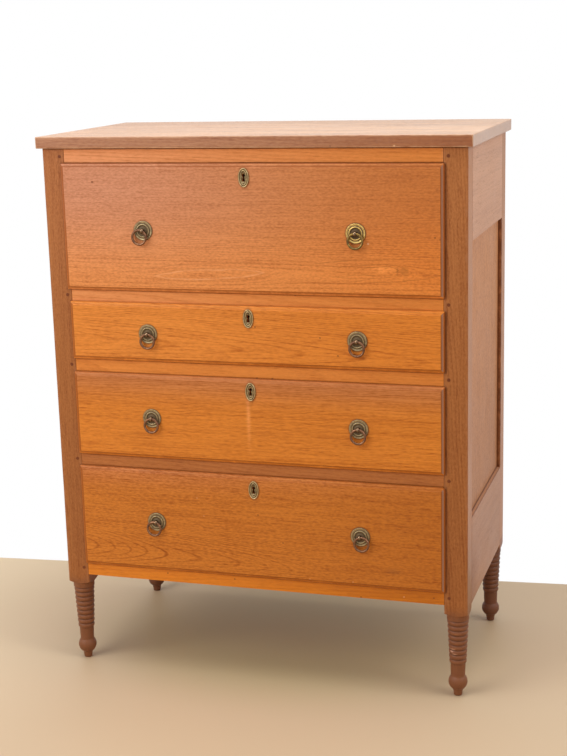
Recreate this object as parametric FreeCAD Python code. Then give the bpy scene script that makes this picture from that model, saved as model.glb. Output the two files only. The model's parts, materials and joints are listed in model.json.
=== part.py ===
import FreeCAD, Part
import math
import os

# A post-and-panel chest of four lipped drawers on reeded turned legs.
# Millimetres. +X right, +Y to the back, +Z up. The origin is on the floor under the middle of the
# whole object, so the case sits a little behind it, by as much as the pulls stand out in front.

# ---------------------------------------------------------------- driving dimensions

# Case
case_width = 861.0
case_depth = 450.0
post_size = 47.0
top_thickness = 23.0
top_side_overhang = 10.5
top_front_overhang = 8.5
top_back_overhang = 8.0
top_edge_radius = 1.5

# Front rails and the openings between them, from the top down
top_rail_height = 33.0
divider_heights = (31.0, 34.0, 32.0)
bottom_rail_height = 30.0
opening_heights = (247.5, 113.0, 169.0, 210.5)
rail_depth = 32.0

# Sides: rails round a recessed panel
side_rail_height = 180.0
side_rail_drop = 9.5
side_rail_thickness = 22.0
panel_thickness = 8.0
panel_recess = 8.0
groove_depth = 8.0

# Back: rails and ship-lapped boards
rear_rail_thickness = 22.0
rear_top_rail_height = 60.0
rear_bottom_rail_height = 70.0
back_board_thickness = 10.0
back_board_count = 5

# Joints in the frame
tenon_thickness = 10.0
tenon_length = 20.0
tenon_shoulder = 5.0
joint_clearance = 0.1
peg_diameter = 6.0
peg_length = 30.0
peg_stand_out = 0.3

# Turned leg
leg_height = 175.5
post_below_rail = 23.5
collar_height = 11.7
shoulder_height = 5.5
collar_radius = 22.3
ring_count = 9
ring_top_radius = 21.8
ring_bottom_radius = 17.3
ring_groove_depth = 2.2
taper_length = 27.3
taper_bottom_radius = 14.5
ball_radius = 19.25
ball_centre_height = 30.0
neck_radius = 10.2
foot_radius = 8.8
foot_height = 3.0
foot_pad_radius = 7.0
foot_roundness = 0.75

# Runners and guides
runner_inside = 26.0
tongue_thickness = 8.0
tongue_length = 10.0
guide_height = 18.0
screw_radius = 2.2
screw_head_radius = 4.2
screw_head_height = 3.0
screw_bite = 12.0
screws_per_kicker = 3

# Drawer boxes
side_gap = 1.0
running_gap = 0.3
top_gap = 2.0
rear_gap = 10.0
drawer_board = 11.0
bottom_board = 6.0
bottom_height = 12.0
bottom_groove_depth = 5.0
tail_length = 10.0
tail_slope = 0.18
pin_width = 6.0
tail_pitch = 45.0

# Drawer fronts
lip_overlap = 3.3
lip_overlaps_left = (7.3, lip_overlap, lip_overlap, lip_overlap)
lip_gap = 0.3
lip_proud = 9.0
front_inner = 13.0
moulding_width = 6.5
moulding_step = 1.6
moulding_edge = 3.5

# Ring pulls
pull_spacing = 434.0
pull_drops = (4.75, 2.25, 2.5, 2.5)
plate_heights = (1.2, 2.6, 1.7, 3.3, 2.4, 3.2)
plate_radii = (20.0, 18.6, 15.4, 12.6, 9.6, 6.2)
eye_distance = 6.9
eye_ball_radius = 4.7
eye_thickness = 5.0
shank_radius = 2.4
shank_clearance = 0.05
nut_width = 11.0
nut_thickness = 4.0
shank_end = 2.0
ring_radius = 14.3
wire_radius = 2.4
ring_clearance = 0.3
# How far each ring's stud is turned in its hole, left and right on each drawer, in degrees
stud_turns = ((28.0, 0.0), (0.0, 0.0), (0.0, 0.0), (18.0, -14.0))

# Locks and keyhole plates
keyhole_offset = -3.5
keyhole_drops = (23.5, 21.0, 22.0, 25.0)
keyhole_radius = 3.4
keyhole_waist = 3.6
keyhole_flare = 6.0
keyhole_length = 13.5
keyhole_plate_width = 22.5
keyhole_plate_height = 37.5
keyhole_plate_base = 1.3
keyhole_rims = ((0.0, 2.3, 2.6), (4.0, 5.6, 2.0))
lock_plate_width = 70.0
lock_plate_thickness = 2.0
lock_case_width = 50.0
lock_case_depth = 9.0
lock_height = 42.0
bolt_width = 18.0
bolt_depth = 4.4
bolt_height = 22.0
bolt_travel = 8.0
bolt_clearance = 0.2
bolt_mortise_gap = 1.5
talon_gap = 1.0

# ---------------------------------------------------------------- derived levels

pull_reach = eye_distance + eye_ball_radius
front_reach = lip_proud + pull_reach
overall_depth = front_reach + case_depth + top_back_overhang
front_y = front_reach - overall_depth / 2
back_y = front_y + case_depth
case_x = case_width / 2
post_x = case_x - post_size
post_front_y = front_y + post_size
post_back_y = back_y - post_size

case_bottom = leg_height + post_below_rail
rail_heights = (top_rail_height,) + divider_heights + (bottom_rail_height,)
case_top = case_bottom + sum(rail_heights) + sum(opening_heights)
overall_height = case_top + top_thickness
lower_rail_bottom = case_bottom - side_rail_drop
lower_rail_top = lower_rail_bottom + side_rail_height
upper_rail_bottom = case_top - side_rail_height
panel_outer_x = case_x - panel_recess
panel_inner_x = panel_outer_x - panel_thickness
side_inner_x = case_x - side_rail_thickness
rear_inner_y = back_y - rear_rail_thickness
back_board_y = back_y - (rear_rail_thickness + back_board_thickness) / 2

rail_levels = []
opening_levels = []
level = case_top
for rail_index, rail_height in enumerate(rail_heights):
    rail_levels.append((level - rail_height, level))
    level -= rail_height
    if rail_index < len(opening_heights):
        opening_levels.append((level - opening_heights[rail_index], level))
        level -= opening_heights[rail_index]

X_AXIS = FreeCAD.Vector(1, 0, 0)
Y_AXIS = FreeCAD.Vector(0, 1, 0)
Z_AXIS = FreeCAD.Vector(0, 0, 1)


# ---------------------------------------------------------------- helpers

def box(x_low, x_high, y_low, y_high, z_low, z_high):
    """A box between two corners."""
    corner = FreeCAD.Vector(x_low, y_low, z_low)
    return Part.makeBox(x_high - x_low, y_high - y_low, z_high - z_low, corner)


def grown(limits, margin):
    """The limits of a box, moved out by the margin on every side."""
    return tuple(value + (margin if index % 2 else -margin) for index, value in enumerate(limits))


def prism(points, direction):
    """A flat outline with straight sides, pushed along a direction."""
    wire = Part.makePolygon(points + points[:1])
    return Part.Face(wire).extrude(direction)


def lathe(edges, centre, axis):
    """An outline of edges that starts and ends on the axis, turned round it."""
    closing = Part.makeLine(edges[-1].Vertexes[-1].Point, edges[0].Vertexes[0].Point)
    wire = Part.Wire(Part.__sortEdges__(edges + [closing]))
    return Part.Face(wire).revolve(centre, axis, 360)


def mirrored(shape):
    """The same piece on the other side of the chest."""
    return shape.mirror(FreeCAD.Vector(0, 0, 0), X_AXIS)


def fused(shapes):
    """One solid from touching ones."""
    return shapes[0].multiFuse(shapes[1:]).removeSplitter()


def write(node, shapes):
    """Each node is one STEP file with one or more separate solids."""
    solids = [solid for shape in shapes for solid in shape.Solids]
    shape = solids[0] if len(solids) == 1 else Part.makeCompound(solids)
    shape.exportStep("parts/" + node + ".step")


# ---------------------------------------------------------------- tenons, shared by posts and rails

def front_tenon(levels):
    """Right-hand tenon of a front rail, which the front post receives."""
    y_low = front_y + (rail_depth - tenon_thickness) / 2
    z_low, z_high = levels
    return (post_x, post_x + tenon_length, y_low, y_low + tenon_thickness,
            z_low + tenon_shoulder, z_high - tenon_shoulder)


def rear_tenon(levels):
    """Right-hand tenon of a rear rail, which the rear post receives."""
    y_low = back_y - (rear_rail_thickness + tenon_thickness) / 2
    z_low, z_high = levels
    return (post_x, post_x + tenon_length, y_low, y_low + tenon_thickness,
            z_low + tenon_shoulder, z_high - tenon_shoulder)


def side_tenons(levels):
    """Front and rear tenons of a right-hand side rail. They stay clear of the panel's grooves."""
    x_low = case_x - (side_rail_thickness + tenon_thickness) / 2
    z_low, z_high = levels
    z_span = (z_low + groove_depth + tenon_shoulder, z_high - groove_depth - tenon_shoulder)
    front = (x_low, x_low + tenon_thickness, post_front_y - tenon_length, post_front_y) + z_span
    rear = (x_low, x_low + tenon_thickness, post_back_y, post_back_y + tenon_length) + z_span
    return [front, rear]


rear_levels = [
    (case_top - rear_top_rail_height, case_top),
    (lower_rail_bottom, lower_rail_bottom + rear_bottom_rail_height),
]
side_levels = [(upper_rail_bottom, case_top), (lower_rail_bottom, lower_rail_top)]
panel_limits = (panel_inner_x, panel_outer_x, post_front_y - groove_depth, post_back_y + groove_depth,
                lower_rail_top - groove_depth, upper_rail_bottom + groove_depth)
back_limits = (-post_x - groove_depth, post_x + groove_depth,
               back_board_y, back_board_y + back_board_thickness,
               rear_levels[1][1] - groove_depth, rear_levels[0][0] + groove_depth)


# ---------------------------------------------------------------- posts and legs

def leg_outline():
    """Half outline of the turned leg, from the middle of the foot up to the post."""
    def at(radius, height):
        return FreeCAD.Vector(radius, 0, height)

    ball_low = ball_centre_height - math.sqrt(ball_radius ** 2 - neck_radius ** 2)
    ball_high = ball_centre_height + math.sqrt(ball_radius ** 2 - taper_bottom_radius ** 2)
    rings_low = ball_high + taper_length
    rings_high = leg_height - collar_height
    pitch = (rings_high - rings_low) / ring_count

    def ring_radius_at(height):
        share = (height - rings_low) / (rings_high - rings_low)
        return ring_bottom_radius + share * (ring_top_radius - ring_bottom_radius)

    rings_start = at(ring_radius_at(rings_low) - ring_groove_depth, rings_low)
    foot_middle = at(foot_pad_radius + foot_roundness * (foot_radius - foot_pad_radius), foot_height / 3)
    edges = [
        Part.makeLine(at(0, 0), at(foot_pad_radius, 0)),
        Part.Arc(at(foot_pad_radius, 0), foot_middle, at(foot_radius, foot_height)).toShape(),
        Part.makeLine(at(foot_radius, foot_height), at(neck_radius, ball_low)),
        Part.Arc(at(neck_radius, ball_low), at(ball_radius, ball_centre_height),
                 at(taper_bottom_radius, ball_high)).toShape(),
        Part.makeLine(at(taper_bottom_radius, ball_high), rings_start),
    ]
    for index in range(ring_count):
        low = rings_low + index * pitch
        middle = low + pitch / 2
        high = low + pitch
        low_point = at(ring_radius_at(low) - ring_groove_depth, low)
        high_point = at(ring_radius_at(high) - ring_groove_depth, high)
        edges.append(Part.Arc(low_point, at(ring_radius_at(middle), middle), high_point).toShape())
    edges.append(Part.makeLine(high_point, at(collar_radius, rings_high)))
    edges.append(Part.makeLine(at(collar_radius, rings_high), at(collar_radius, leg_height)))
    edges.append(Part.makeLine(at(collar_radius, leg_height), at(0, leg_height)))
    return edges


def blank_post(y_low):
    """A right-hand post with its turned leg and the rounded shoulder where the turning starts."""
    centre_x = case_x - post_size / 2
    centre_y = y_low + post_size / 2
    corner_radius = post_size / math.sqrt(2)
    square = box(post_x, case_x, y_low, y_low + post_size, leg_height, case_top)
    turning_top = FreeCAD.Vector(centre_x, centre_y, leg_height)
    cone = Part.makeCone(collar_radius, corner_radius, shoulder_height, turning_top)
    above = box(post_x, case_x, y_low, y_low + post_size, leg_height + shoulder_height, case_top)
    leg = lathe(leg_outline(), FreeCAD.Vector(0, 0, 0), Z_AXIS)
    leg.translate(FreeCAD.Vector(centre_x, centre_y, 0))
    return fused([above, square.common(cone), leg])


def front_post():
    """Right-hand front post with the rails' mortises, the panel's groove and the peg holes."""
    cutters = [box(*grown(front_tenon(levels), joint_clearance)) for levels in rail_levels]
    cutters += [box(*grown(side_tenons(levels)[0], joint_clearance)) for levels in side_levels]
    cutters.append(box(*grown(panel_limits, joint_clearance)))
    cutters += [peg(levels, joint_clearance) for levels in rail_levels]
    return blank_post(front_y).cut(cutters)


def rear_post():
    """Right-hand rear post with the rails' mortises and the grooves of the panel and the back."""
    cutters = [box(*grown(rear_tenon(levels), joint_clearance)) for levels in rear_levels]
    cutters += [box(*grown(side_tenons(levels)[1], joint_clearance)) for levels in side_levels]
    cutters.append(box(*grown(panel_limits, joint_clearance)))
    cutters.append(box(*grown(back_limits, joint_clearance)))
    return blank_post(back_y - post_size).cut(cutters)


def peg(levels, clearance=0.0):
    """A peg through a front post into a rail's tenon, or its hole."""
    middle = (levels[0] + levels[1]) / 2
    start = FreeCAD.Vector(post_x + tenon_length / 2, front_y - peg_stand_out - clearance, middle)
    return Part.makeCylinder(peg_diameter / 2 + clearance, peg_length + 2 * clearance, start, Y_AXIS)


# ---------------------------------------------------------------- rails

def bolt_mortise(drawer_index):
    """The slot in a rail's underside that takes the bolt of the drawer below it."""
    rail_bottom = opening_levels[drawer_index][1]
    x_half = bolt_width / 2 + bolt_mortise_gap
    y_middle = bolt_middle_y()
    y_half = bolt_depth / 2 + bolt_mortise_gap
    return box(keyhole_offset - x_half, keyhole_offset + x_half, y_middle - y_half, y_middle + y_half,
               rail_bottom - bolt_mortise_gap, rail_bottom + bolt_travel + bolt_mortise_gap)


def front_rail(rail_index):
    """A front rail with its tenons, the runner tongues' mortises, peg holes and the bolt's slot."""
    levels = rail_levels[rail_index]
    body = box(-post_x, post_x, front_y, front_y + rail_depth, levels[0], levels[1])
    tenon = box(*front_tenon(levels))
    right_peg = peg(levels, joint_clearance)
    right_tongue = box(*grown(runner_tongue(levels), joint_clearance))
    cutters = [right_peg, mirrored(right_peg), right_tongue, mirrored(right_tongue)]
    if rail_index < len(opening_heights):
        cutters.append(bolt_mortise(rail_index))
    return fused([body, tenon, mirrored(tenon)]).cut(cutters)


def side_rail(levels):
    """A right-hand side rail with its tenons and the groove that takes the panel's edge."""
    body = box(side_inner_x, case_x, post_front_y, post_back_y, levels[0], levels[1])
    tenons = [box(*limits) for limits in side_tenons(levels)]
    return fused([body] + tenons).cut(box(*grown(panel_limits, joint_clearance)))


def side_panel():
    """A right-hand side panel, whose edges sit in the grooves of posts and rails."""
    return box(*panel_limits)


def rear_rail(levels):
    """A rear rail with its tenons and the groove that takes the back boards."""
    body = box(-post_x, post_x, rear_inner_y, back_y, levels[0], levels[1])
    tenon = box(*rear_tenon(levels))
    return fused([body, tenon, mirrored(tenon)]).cut(box(*grown(back_limits, joint_clearance)))


def back_board(board_index):
    """One horizontal back board, lapped half its thickness over the next one up."""
    x_low, x_high, y_low, y_high, z_low, z_high = back_limits
    step = (z_high - z_low) / back_board_count
    lap = back_board_thickness
    y_middle = (y_low + y_high) / 2
    low = z_low + board_index * step
    high = low + step
    board = box(x_low, x_high, y_low, y_high, low, high)
    if board_index > 0:
        board = board.cut(box(x_low, x_high, y_low, y_middle, low, low + lap))
    if board_index < back_board_count - 1:
        board = fused([board, box(x_low, x_high, y_low, y_middle, high, high + lap)])
    return board


# ---------------------------------------------------------------- runners, kickers and guides

def runner_tongue(levels):
    """The tongue at a right-hand runner's front end, which the front rail receives."""
    middle = (levels[0] + levels[1]) / 2
    rail_back = front_y + rail_depth
    return (post_x - runner_inside, post_x - joint_clearance, rail_back - tongue_length, rail_back,
            middle - tongue_thickness / 2, middle + tongue_thickness / 2)


def runner(levels):
    """A right-hand runner or kicker, notched round the posts at its ends."""
    z_low, z_high = levels
    inner = box(post_x - runner_inside, post_x, front_y + rail_depth, rear_inner_y, z_low, z_high)
    outer = box(post_x, side_inner_x, post_front_y, post_back_y, z_low, z_high)
    return fused([inner, outer, box(*runner_tongue(levels))])


def guide(drawer_index):
    """A right-hand guide on the runner, flush with the posts, which keeps the drawer straight."""
    z_low = opening_levels[drawer_index][0]
    return box(post_x, side_inner_x, post_front_y, post_back_y, z_low, z_low + guide_height)


def top_screw(screw_index, clearance=0.0):
    """A screw up through the right-hand kicker into the top board, its head sunk into the kicker."""
    x_middle = (post_x + side_inner_x) / 2
    spacing = (post_back_y - post_front_y) / screws_per_kicker
    y_middle = post_front_y + (screw_index + 0.5) * spacing
    kicker_bottom = rail_levels[0][0]
    start = FreeCAD.Vector(x_middle, y_middle, kicker_bottom - clearance)
    head = Part.makeCylinder(screw_head_radius + clearance, screw_head_height + clearance, start, Z_AXIS)
    shank_length = case_top - kicker_bottom + screw_bite + 2 * clearance
    shank = Part.makeCylinder(screw_radius + clearance, shank_length, start, Z_AXIS)
    return fused([head, shank])


def all_screws(clearance=0.0):
    """The screws of both kickers, or their holes."""
    right = [top_screw(index, clearance) for index in range(screws_per_kicker)]
    return right + [mirrored(screw) for screw in right]


def top_board():
    """The top, with eased edges and holes for its screws."""
    board = box(-case_x - top_side_overhang, case_x + top_side_overhang,
                front_y - top_front_overhang, back_y + top_back_overhang, case_top, overall_height)
    eased = [edge for edge in board.Edges if edge.CenterOfMass.z > case_top + top_edge_radius]
    return board.makeFillet(top_edge_radius, eased).cut(all_screws(joint_clearance))


# ---------------------------------------------------------------- drawers

def drawer_limits(drawer_index):
    """Half width, and the low and high levels, of a drawer's box."""
    z_low, z_high = opening_levels[drawer_index]
    return post_x - side_gap, z_low + running_gap, z_high - top_gap


def drawer_ends():
    """Where a drawer's tails start, where its front ends and where its back ends."""
    front_inside = front_y + front_inner
    return front_inside - tail_length, front_inside, rear_inner_y - rear_gap


def tail_points(z_low, z_high, shoulder_y, tip_y):
    """Dovetails up one end of a drawer side, as (y, z) from the low shoulder to the high one."""
    count = max(2, round((z_high - z_low) / tail_pitch))
    pitch = (z_high - z_low) / count
    flare = abs(tip_y - shoulder_y) * tail_slope
    points = []
    for index in range(count):
        tip_low = z_low + index * pitch + pin_width / 2
        tip_high = z_low + (index + 1) * pitch - pin_width / 2
        points += [(shoulder_y, tip_low + flare), (tip_y, tip_low)]
        points += [(tip_y, tip_high), (shoulder_y, tip_high - flare)]
    return points


def drawer_side(drawer_index):
    """A right-hand drawer side with dovetails at both ends and the bottom's groove."""
    x_high, z_low, z_high = drawer_limits(drawer_index)
    x_low = x_high - drawer_board
    tip_y, front_inside, back_end = drawer_ends()
    back_low = z_low + bottom_height + bottom_board
    outline = [(front_inside, z_low)]
    outline += tail_points(z_low, z_high, front_inside, tip_y)
    outline += [(front_inside, z_high), (back_end - drawer_board, z_high)]
    outline += list(reversed(tail_points(back_low, z_high, back_end - drawer_board, back_end)))
    outline += [(back_end - drawer_board, back_low), (back_end, back_low), (back_end, z_low)]
    points = [FreeCAD.Vector(x_low, y, z) for y, z in outline]
    side = prism(points, FreeCAD.Vector(drawer_board, 0, 0))
    groove_low = z_low + bottom_height
    return side.cut(box(x_low, x_low + bottom_groove_depth, front_inside, back_end,
                        groove_low, groove_low + bottom_board))


def drawer_back(drawer_index, sides):
    """The back between the sides, standing on the bottom board."""
    x_high, z_low, z_high = drawer_limits(drawer_index)
    back_end = drawer_ends()[2]
    back_low = z_low + bottom_height + bottom_board
    return box(-x_high, x_high, back_end - drawer_board, back_end, back_low, z_high).cut(sides)


def drawer_bottom(drawer_index):
    """The bottom board, in the grooves of the sides and the front, and under the back."""
    x_high, z_low, z_high = drawer_limits(drawer_index)
    inner_x = x_high - drawer_board
    wide_x = inner_x + bottom_groove_depth - joint_clearance
    front_inside, back_end = drawer_ends()[1:]
    low = z_low + bottom_height
    field = box(-wide_x, wide_x, front_inside, back_end, low, low + bottom_board)
    edge = box(-inner_x, inner_x, front_inside - bottom_groove_depth + joint_clearance, front_inside,
               low, low + bottom_board)
    return fused([field, edge])


def moulded_outline(low, high, to_point):
    """Section through the lip, from its back face round its thumbnail edges."""
    back = front_y - lip_gap
    face = front_y - lip_proud
    step = face + moulding_step
    edge = front_y - moulding_edge
    diagonal = math.sqrt(0.5)

    def thumbnail(outer, inward):
        middle = outer + inward * moulding_width * (1 - diagonal)
        middle_y = edge - (edge - step) * diagonal
        inner = outer + inward * moulding_width
        return [to_point(edge, outer), to_point(middle_y, middle), to_point(step, inner)]

    low_arc = thumbnail(low, 1)
    high_arc = thumbnail(high, -1)
    face_low = to_point(face, low + moulding_width)
    face_high = to_point(face, high - moulding_width)
    back_low = to_point(back, low)
    back_high = to_point(back, high)
    edges = [
        Part.makeLine(back_low, low_arc[0]),
        Part.Arc(*low_arc).toShape(),
        Part.makeLine(low_arc[2], face_low),
        Part.makeLine(face_low, face_high),
        Part.makeLine(face_high, high_arc[2]),
        Part.Arc(*reversed(high_arc)).toShape(),
        Part.makeLine(high_arc[0], back_high),
        Part.makeLine(back_high, back_low),
    ]
    return Part.Face(Part.Wire(edges))


def drawer_lip(drawer_index):
    """The part of a drawer front that overlaps the frame, moulded on all four sides with mitred corners."""
    z_low, z_high = opening_levels[drawer_index]
    z_low -= lip_overlap
    z_high += lip_overlap
    x_low = -post_x - lip_overlaps_left[drawer_index]
    x_high = post_x + lip_overlap
    along_x = moulded_outline(z_low, z_high, lambda y, z: FreeCAD.Vector(x_low, y, z))
    along_z = moulded_outline(x_low, x_high, lambda y, x: FreeCAD.Vector(x, y, z_low))
    lengthwise = along_x.extrude(X_AXIS * (x_high - x_low))
    upright = along_z.extrude(Z_AXIS * (z_high - z_low))
    return lengthwise.common(upright)


def drawer_front(drawer_index, sides):
    """A solid drawer front: lip, the part inside the opening, tail sockets, groove, keyhole and holes."""
    x_high, z_low, z_high = drawer_limits(drawer_index)
    inner_x = x_high - drawer_board
    front_inside = front_y + front_inner
    inner = box(-x_high, x_high, front_y - lip_proud / 2, front_inside, z_low, z_high)
    groove_low = z_low + bottom_height
    groove = box(-inner_x, inner_x, front_inside - bottom_groove_depth, front_inside,
                 groove_low, groove_low + bottom_board)
    cutters = list(sides) + [groove]
    cutters += lock_solids(drawer_index, joint_clearance)
    cutters.append(keyhole(drawer_index, front_y - lip_proud - pull_reach, front_inside))
    for side_index in range(2):
        cutters.append(on_pull(stud_hole(), drawer_index, side_index))
    return fused([drawer_lip(drawer_index), inner]).cut(cutters)


# ---------------------------------------------------------------- locks

def plate_level(drawer_index):
    """Height of the middle of a keyhole plate."""
    return opening_levels[drawer_index][1] - keyhole_drops[drawer_index]


def keyhole_level(drawer_index):
    """Height of the middle of a keyhole's round top."""
    return plate_level(drawer_index) + keyhole_length / 2 - keyhole_radius


def keyhole(drawer_index, y_low, y_high):
    """A keyhole-shaped cutter: a round top and a slot that widens downward."""
    top = keyhole_level(drawer_index)
    low = top + keyhole_radius - keyhole_length
    depth = FreeCAD.Vector(0, y_high - y_low, 0)
    centre = FreeCAD.Vector(keyhole_offset, y_low, top)
    round_top = Part.makeCylinder(keyhole_radius, y_high - y_low, centre, Y_AXIS)
    corners = [
        (-keyhole_waist / 2, top),
        (-keyhole_flare / 2, low),
        (keyhole_flare / 2, low),
        (keyhole_waist / 2, top),
    ]
    slot = prism([FreeCAD.Vector(keyhole_offset + x, y_low, z) for x, z in corners], depth)
    return fused([round_top, slot])


def bolt_middle_y():
    """Middle of the bolt between the lock case's front and its back plate."""
    return front_y + front_inner - lock_plate_thickness - lock_case_depth / 2


def lock_solids(drawer_index, clearance):
    """Back plate, case and top plate of a lock, or the recess that takes them."""
    top = drawer_limits(drawer_index)[2]
    inside = front_y + front_inner
    case_front = inside - lock_plate_thickness - lock_case_depth
    plate_x = (keyhole_offset - lock_plate_width / 2, keyhole_offset + lock_plate_width / 2)
    case_x_span = (keyhole_offset - lock_case_width / 2, keyhole_offset + lock_case_width / 2)
    plates = [
        plate_x + (inside - lock_plate_thickness, inside, top - lock_height, top),
        case_x_span + (case_front, inside, top - lock_height, top),
        plate_x + (case_front, inside, top - lock_plate_thickness, top),
    ]
    return [box(*grown(limits, clearance)) for limits in plates]


def lock(drawer_index):
    """A half-mortise lock with its keyhole and the channel its bolt slides in, open at the top."""
    channel = box(*grown(bolt_limits(drawer_index), bolt_clearance))
    hole = keyhole(drawer_index, front_y, bolt_middle_y())
    return fused(lock_solids(drawer_index, 0.0)).cut([channel, hole])


def bolt_limits(drawer_index):
    """Limits of a lock's bolt, drawn back until its end is flush with the lock's top plate."""
    top = drawer_limits(drawer_index)[2]
    middle = bolt_middle_y()
    return (keyhole_offset - bolt_width / 2, keyhole_offset + bolt_width / 2,
            middle - bolt_depth / 2, middle + bolt_depth / 2, top - bolt_height, top)


def lock_bolt(drawer_index):
    """A bolt with a notch over the keyhole, where the key lifts it."""
    limits = bolt_limits(drawer_index)
    notch_half = keyhole_radius + talon_gap
    notch_top = keyhole_level(drawer_index) + keyhole_radius + talon_gap
    notch_x = (keyhole_offset - notch_half, keyhole_offset + notch_half)
    return box(*limits).cut(box(*notch_x, *limits[2:5], notch_top))


def keyhole_plate(drawer_index):
    """An oval plate with two raised rims round its keyhole."""
    face = front_y - lip_proud
    middle = FreeCAD.Vector(keyhole_offset, face, plate_level(drawer_index))

    def oval(inset, height):
        half_height = keyhole_plate_height / 2 - inset
        half_width = keyhole_plate_width / 2 - inset
        ellipse = Part.Ellipse(FreeCAD.Vector(0, 0, 0), half_height, half_width)
        solid = Part.Face(Part.Wire(ellipse.toShape())).extrude(Z_AXIS * height)
        solid.rotate(FreeCAD.Vector(0, 0, 0), Z_AXIS, 90)
        solid.rotate(FreeCAD.Vector(0, 0, 0), X_AXIS, 90)
        solid.translate(middle)
        return solid

    rims = [oval(outer, height).cut(oval(inner, height)) for outer, inner, height in keyhole_rims]
    thickest = max(height for outer, inner, height in keyhole_rims)
    hole = keyhole(drawer_index, face - thickest, face)
    return fused([oval(0.0, keyhole_plate_base)] + rims).cut(hole)


# ---------------------------------------------------------------- ring pulls, made at the origin

def pull_level(drawer_index):
    """Height of a drawer's pulls, a little under the middle of its opening."""
    return sum(opening_levels[drawer_index]) / 2 - pull_drops[drawer_index]


def on_pull(shape, drawer_index, side_index):
    """Turn a pull's piece with its stud and put it in its place on the drawer's face."""
    turned = shape.copy()
    turned.rotate(FreeCAD.Vector(0, 0, 0), Y_AXIS, stud_turns[drawer_index][side_index])
    x = (side_index - 0.5) * pull_spacing
    turned.translate(FreeCAD.Vector(x, front_y - lip_proud, pull_level(drawer_index)))
    return turned


def pull_plate():
    """A round plate with stepped rings, thickest at its boss, and a hole for the stud."""
    points = [FreeCAD.Vector(plate_radii[0], 0, 0), FreeCAD.Vector(plate_radii[0], -plate_heights[0], 0)]
    for index in range(1, len(plate_radii)):
        points.append(FreeCAD.Vector(plate_radii[index], -plate_heights[index], 0))
    hole = shank_radius + shank_clearance
    points += [FreeCAD.Vector(hole, -plate_heights[-1], 0), FreeCAD.Vector(hole, 0, 0)]
    wire = Part.makePolygon(points + points[:1])
    return Part.Face(wire).revolve(FreeCAD.Vector(0, 0, 0), Y_AXIS, 360)


def stud_length():
    """From the stud's shoulder on the plate to its end inside the drawer."""
    return plate_heights[-1] + lip_proud + front_inner + nut_thickness + shank_end


def stud_hole():
    """The hole through a drawer front for a stud."""
    start = FreeCAD.Vector(0, -plate_heights[-1], 0)
    return Part.makeCylinder(shank_radius + shank_clearance, stud_length(), start, Y_AXIS)


def stud():
    """A stud whose ball has two flats and a cross hole for the ring."""
    def at(radius, y):
        return FreeCAD.Vector(radius, y, 0)

    shoulder_y = -plate_heights[-1]
    end_y = shoulder_y + stud_length()
    shoulder_radius = math.sqrt(eye_ball_radius ** 2 - (eye_distance + shoulder_y) ** 2)
    tip = at(0, -eye_distance - eye_ball_radius)
    shoulder = at(shoulder_radius, shoulder_y)
    edges = [
        Part.Arc(tip, at(eye_ball_radius, -eye_distance), shoulder).toShape(),
        Part.makeLine(shoulder, at(shank_radius, shoulder_y)),
        Part.makeLine(at(shank_radius, shoulder_y), at(shank_radius, end_y)),
        Part.makeLine(at(shank_radius, end_y), at(0, end_y)),
    ]
    half = eye_thickness / 2
    beyond = 2 * eye_ball_radius
    flat = box(half, beyond, -eye_distance - beyond, shoulder_y, -beyond, beyond)
    sagitta = ring_radius - math.sqrt(ring_radius ** 2 - half ** 2)
    hole_radius = wire_radius + sagitta + ring_clearance
    hole = Part.makeCylinder(hole_radius, 2 * beyond, at(-beyond, -eye_distance), X_AXIS)
    return lathe(edges, FreeCAD.Vector(0, 0, 0), Y_AXIS).cut([flat, mirrored(flat), hole])


def nut():
    """A square nut on the inside of the drawer front."""
    start = lip_proud + front_inner
    half = nut_width / 2
    bore_radius = shank_radius + shank_clearance
    bore = Part.makeCylinder(bore_radius, nut_thickness, FreeCAD.Vector(0, start, 0), Y_AXIS)
    return box(-half, half, start, start + nut_thickness, -half, half).cut(bore)


def ring():
    """A ring that hangs from the eye."""
    centre = FreeCAD.Vector(0, -eye_distance, -ring_radius)
    return Part.makeTorus(ring_radius, wire_radius, centre, Y_AXIS)


# ---------------------------------------------------------------- assembly

def write_case():
    """The fixed frame."""
    write("top_board", [top_board()])
    right_front = front_post()
    right_rear = rear_post()
    write("post_front_right", [right_front])
    write("post_front_left", [mirrored(right_front)])
    write("post_rear_right", [right_rear])
    write("post_rear_left", [mirrored(right_rear)])
    for rail_index, place in enumerate(("top", "1_2", "2_3", "3_4", "bottom")):
        write("front_rail_" + place, [front_rail(rail_index)])
    right_rails = [side_rail(levels) for levels in side_levels]
    write("side_rails_right", right_rails)
    write("side_rails_left", [mirrored(rail) for rail in right_rails])
    write("side_panel_right", [side_panel()])
    write("side_panel_left", [mirrored(side_panel())])
    write("rear_rails", [rear_rail(levels) for levels in rear_levels])
    write("back_boards", [back_board(index) for index in range(back_board_count)])
    runners = [runner(levels) for levels in rail_levels[1:]]
    kicker = runner(rail_levels[0])
    both = [kicker.cut(all_screws(joint_clearance))] + runners
    write("drawer_runners", both + [mirrored(piece) for piece in both])
    guides = [guide(index) for index in range(len(opening_heights))]
    write("drawer_guides", guides + [mirrored(piece) for piece in guides])
    pegs = [peg(levels) for levels in rail_levels]
    write("joint_pegs", pegs + [mirrored(piece) for piece in pegs])
    write("top_screws", all_screws())


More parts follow.
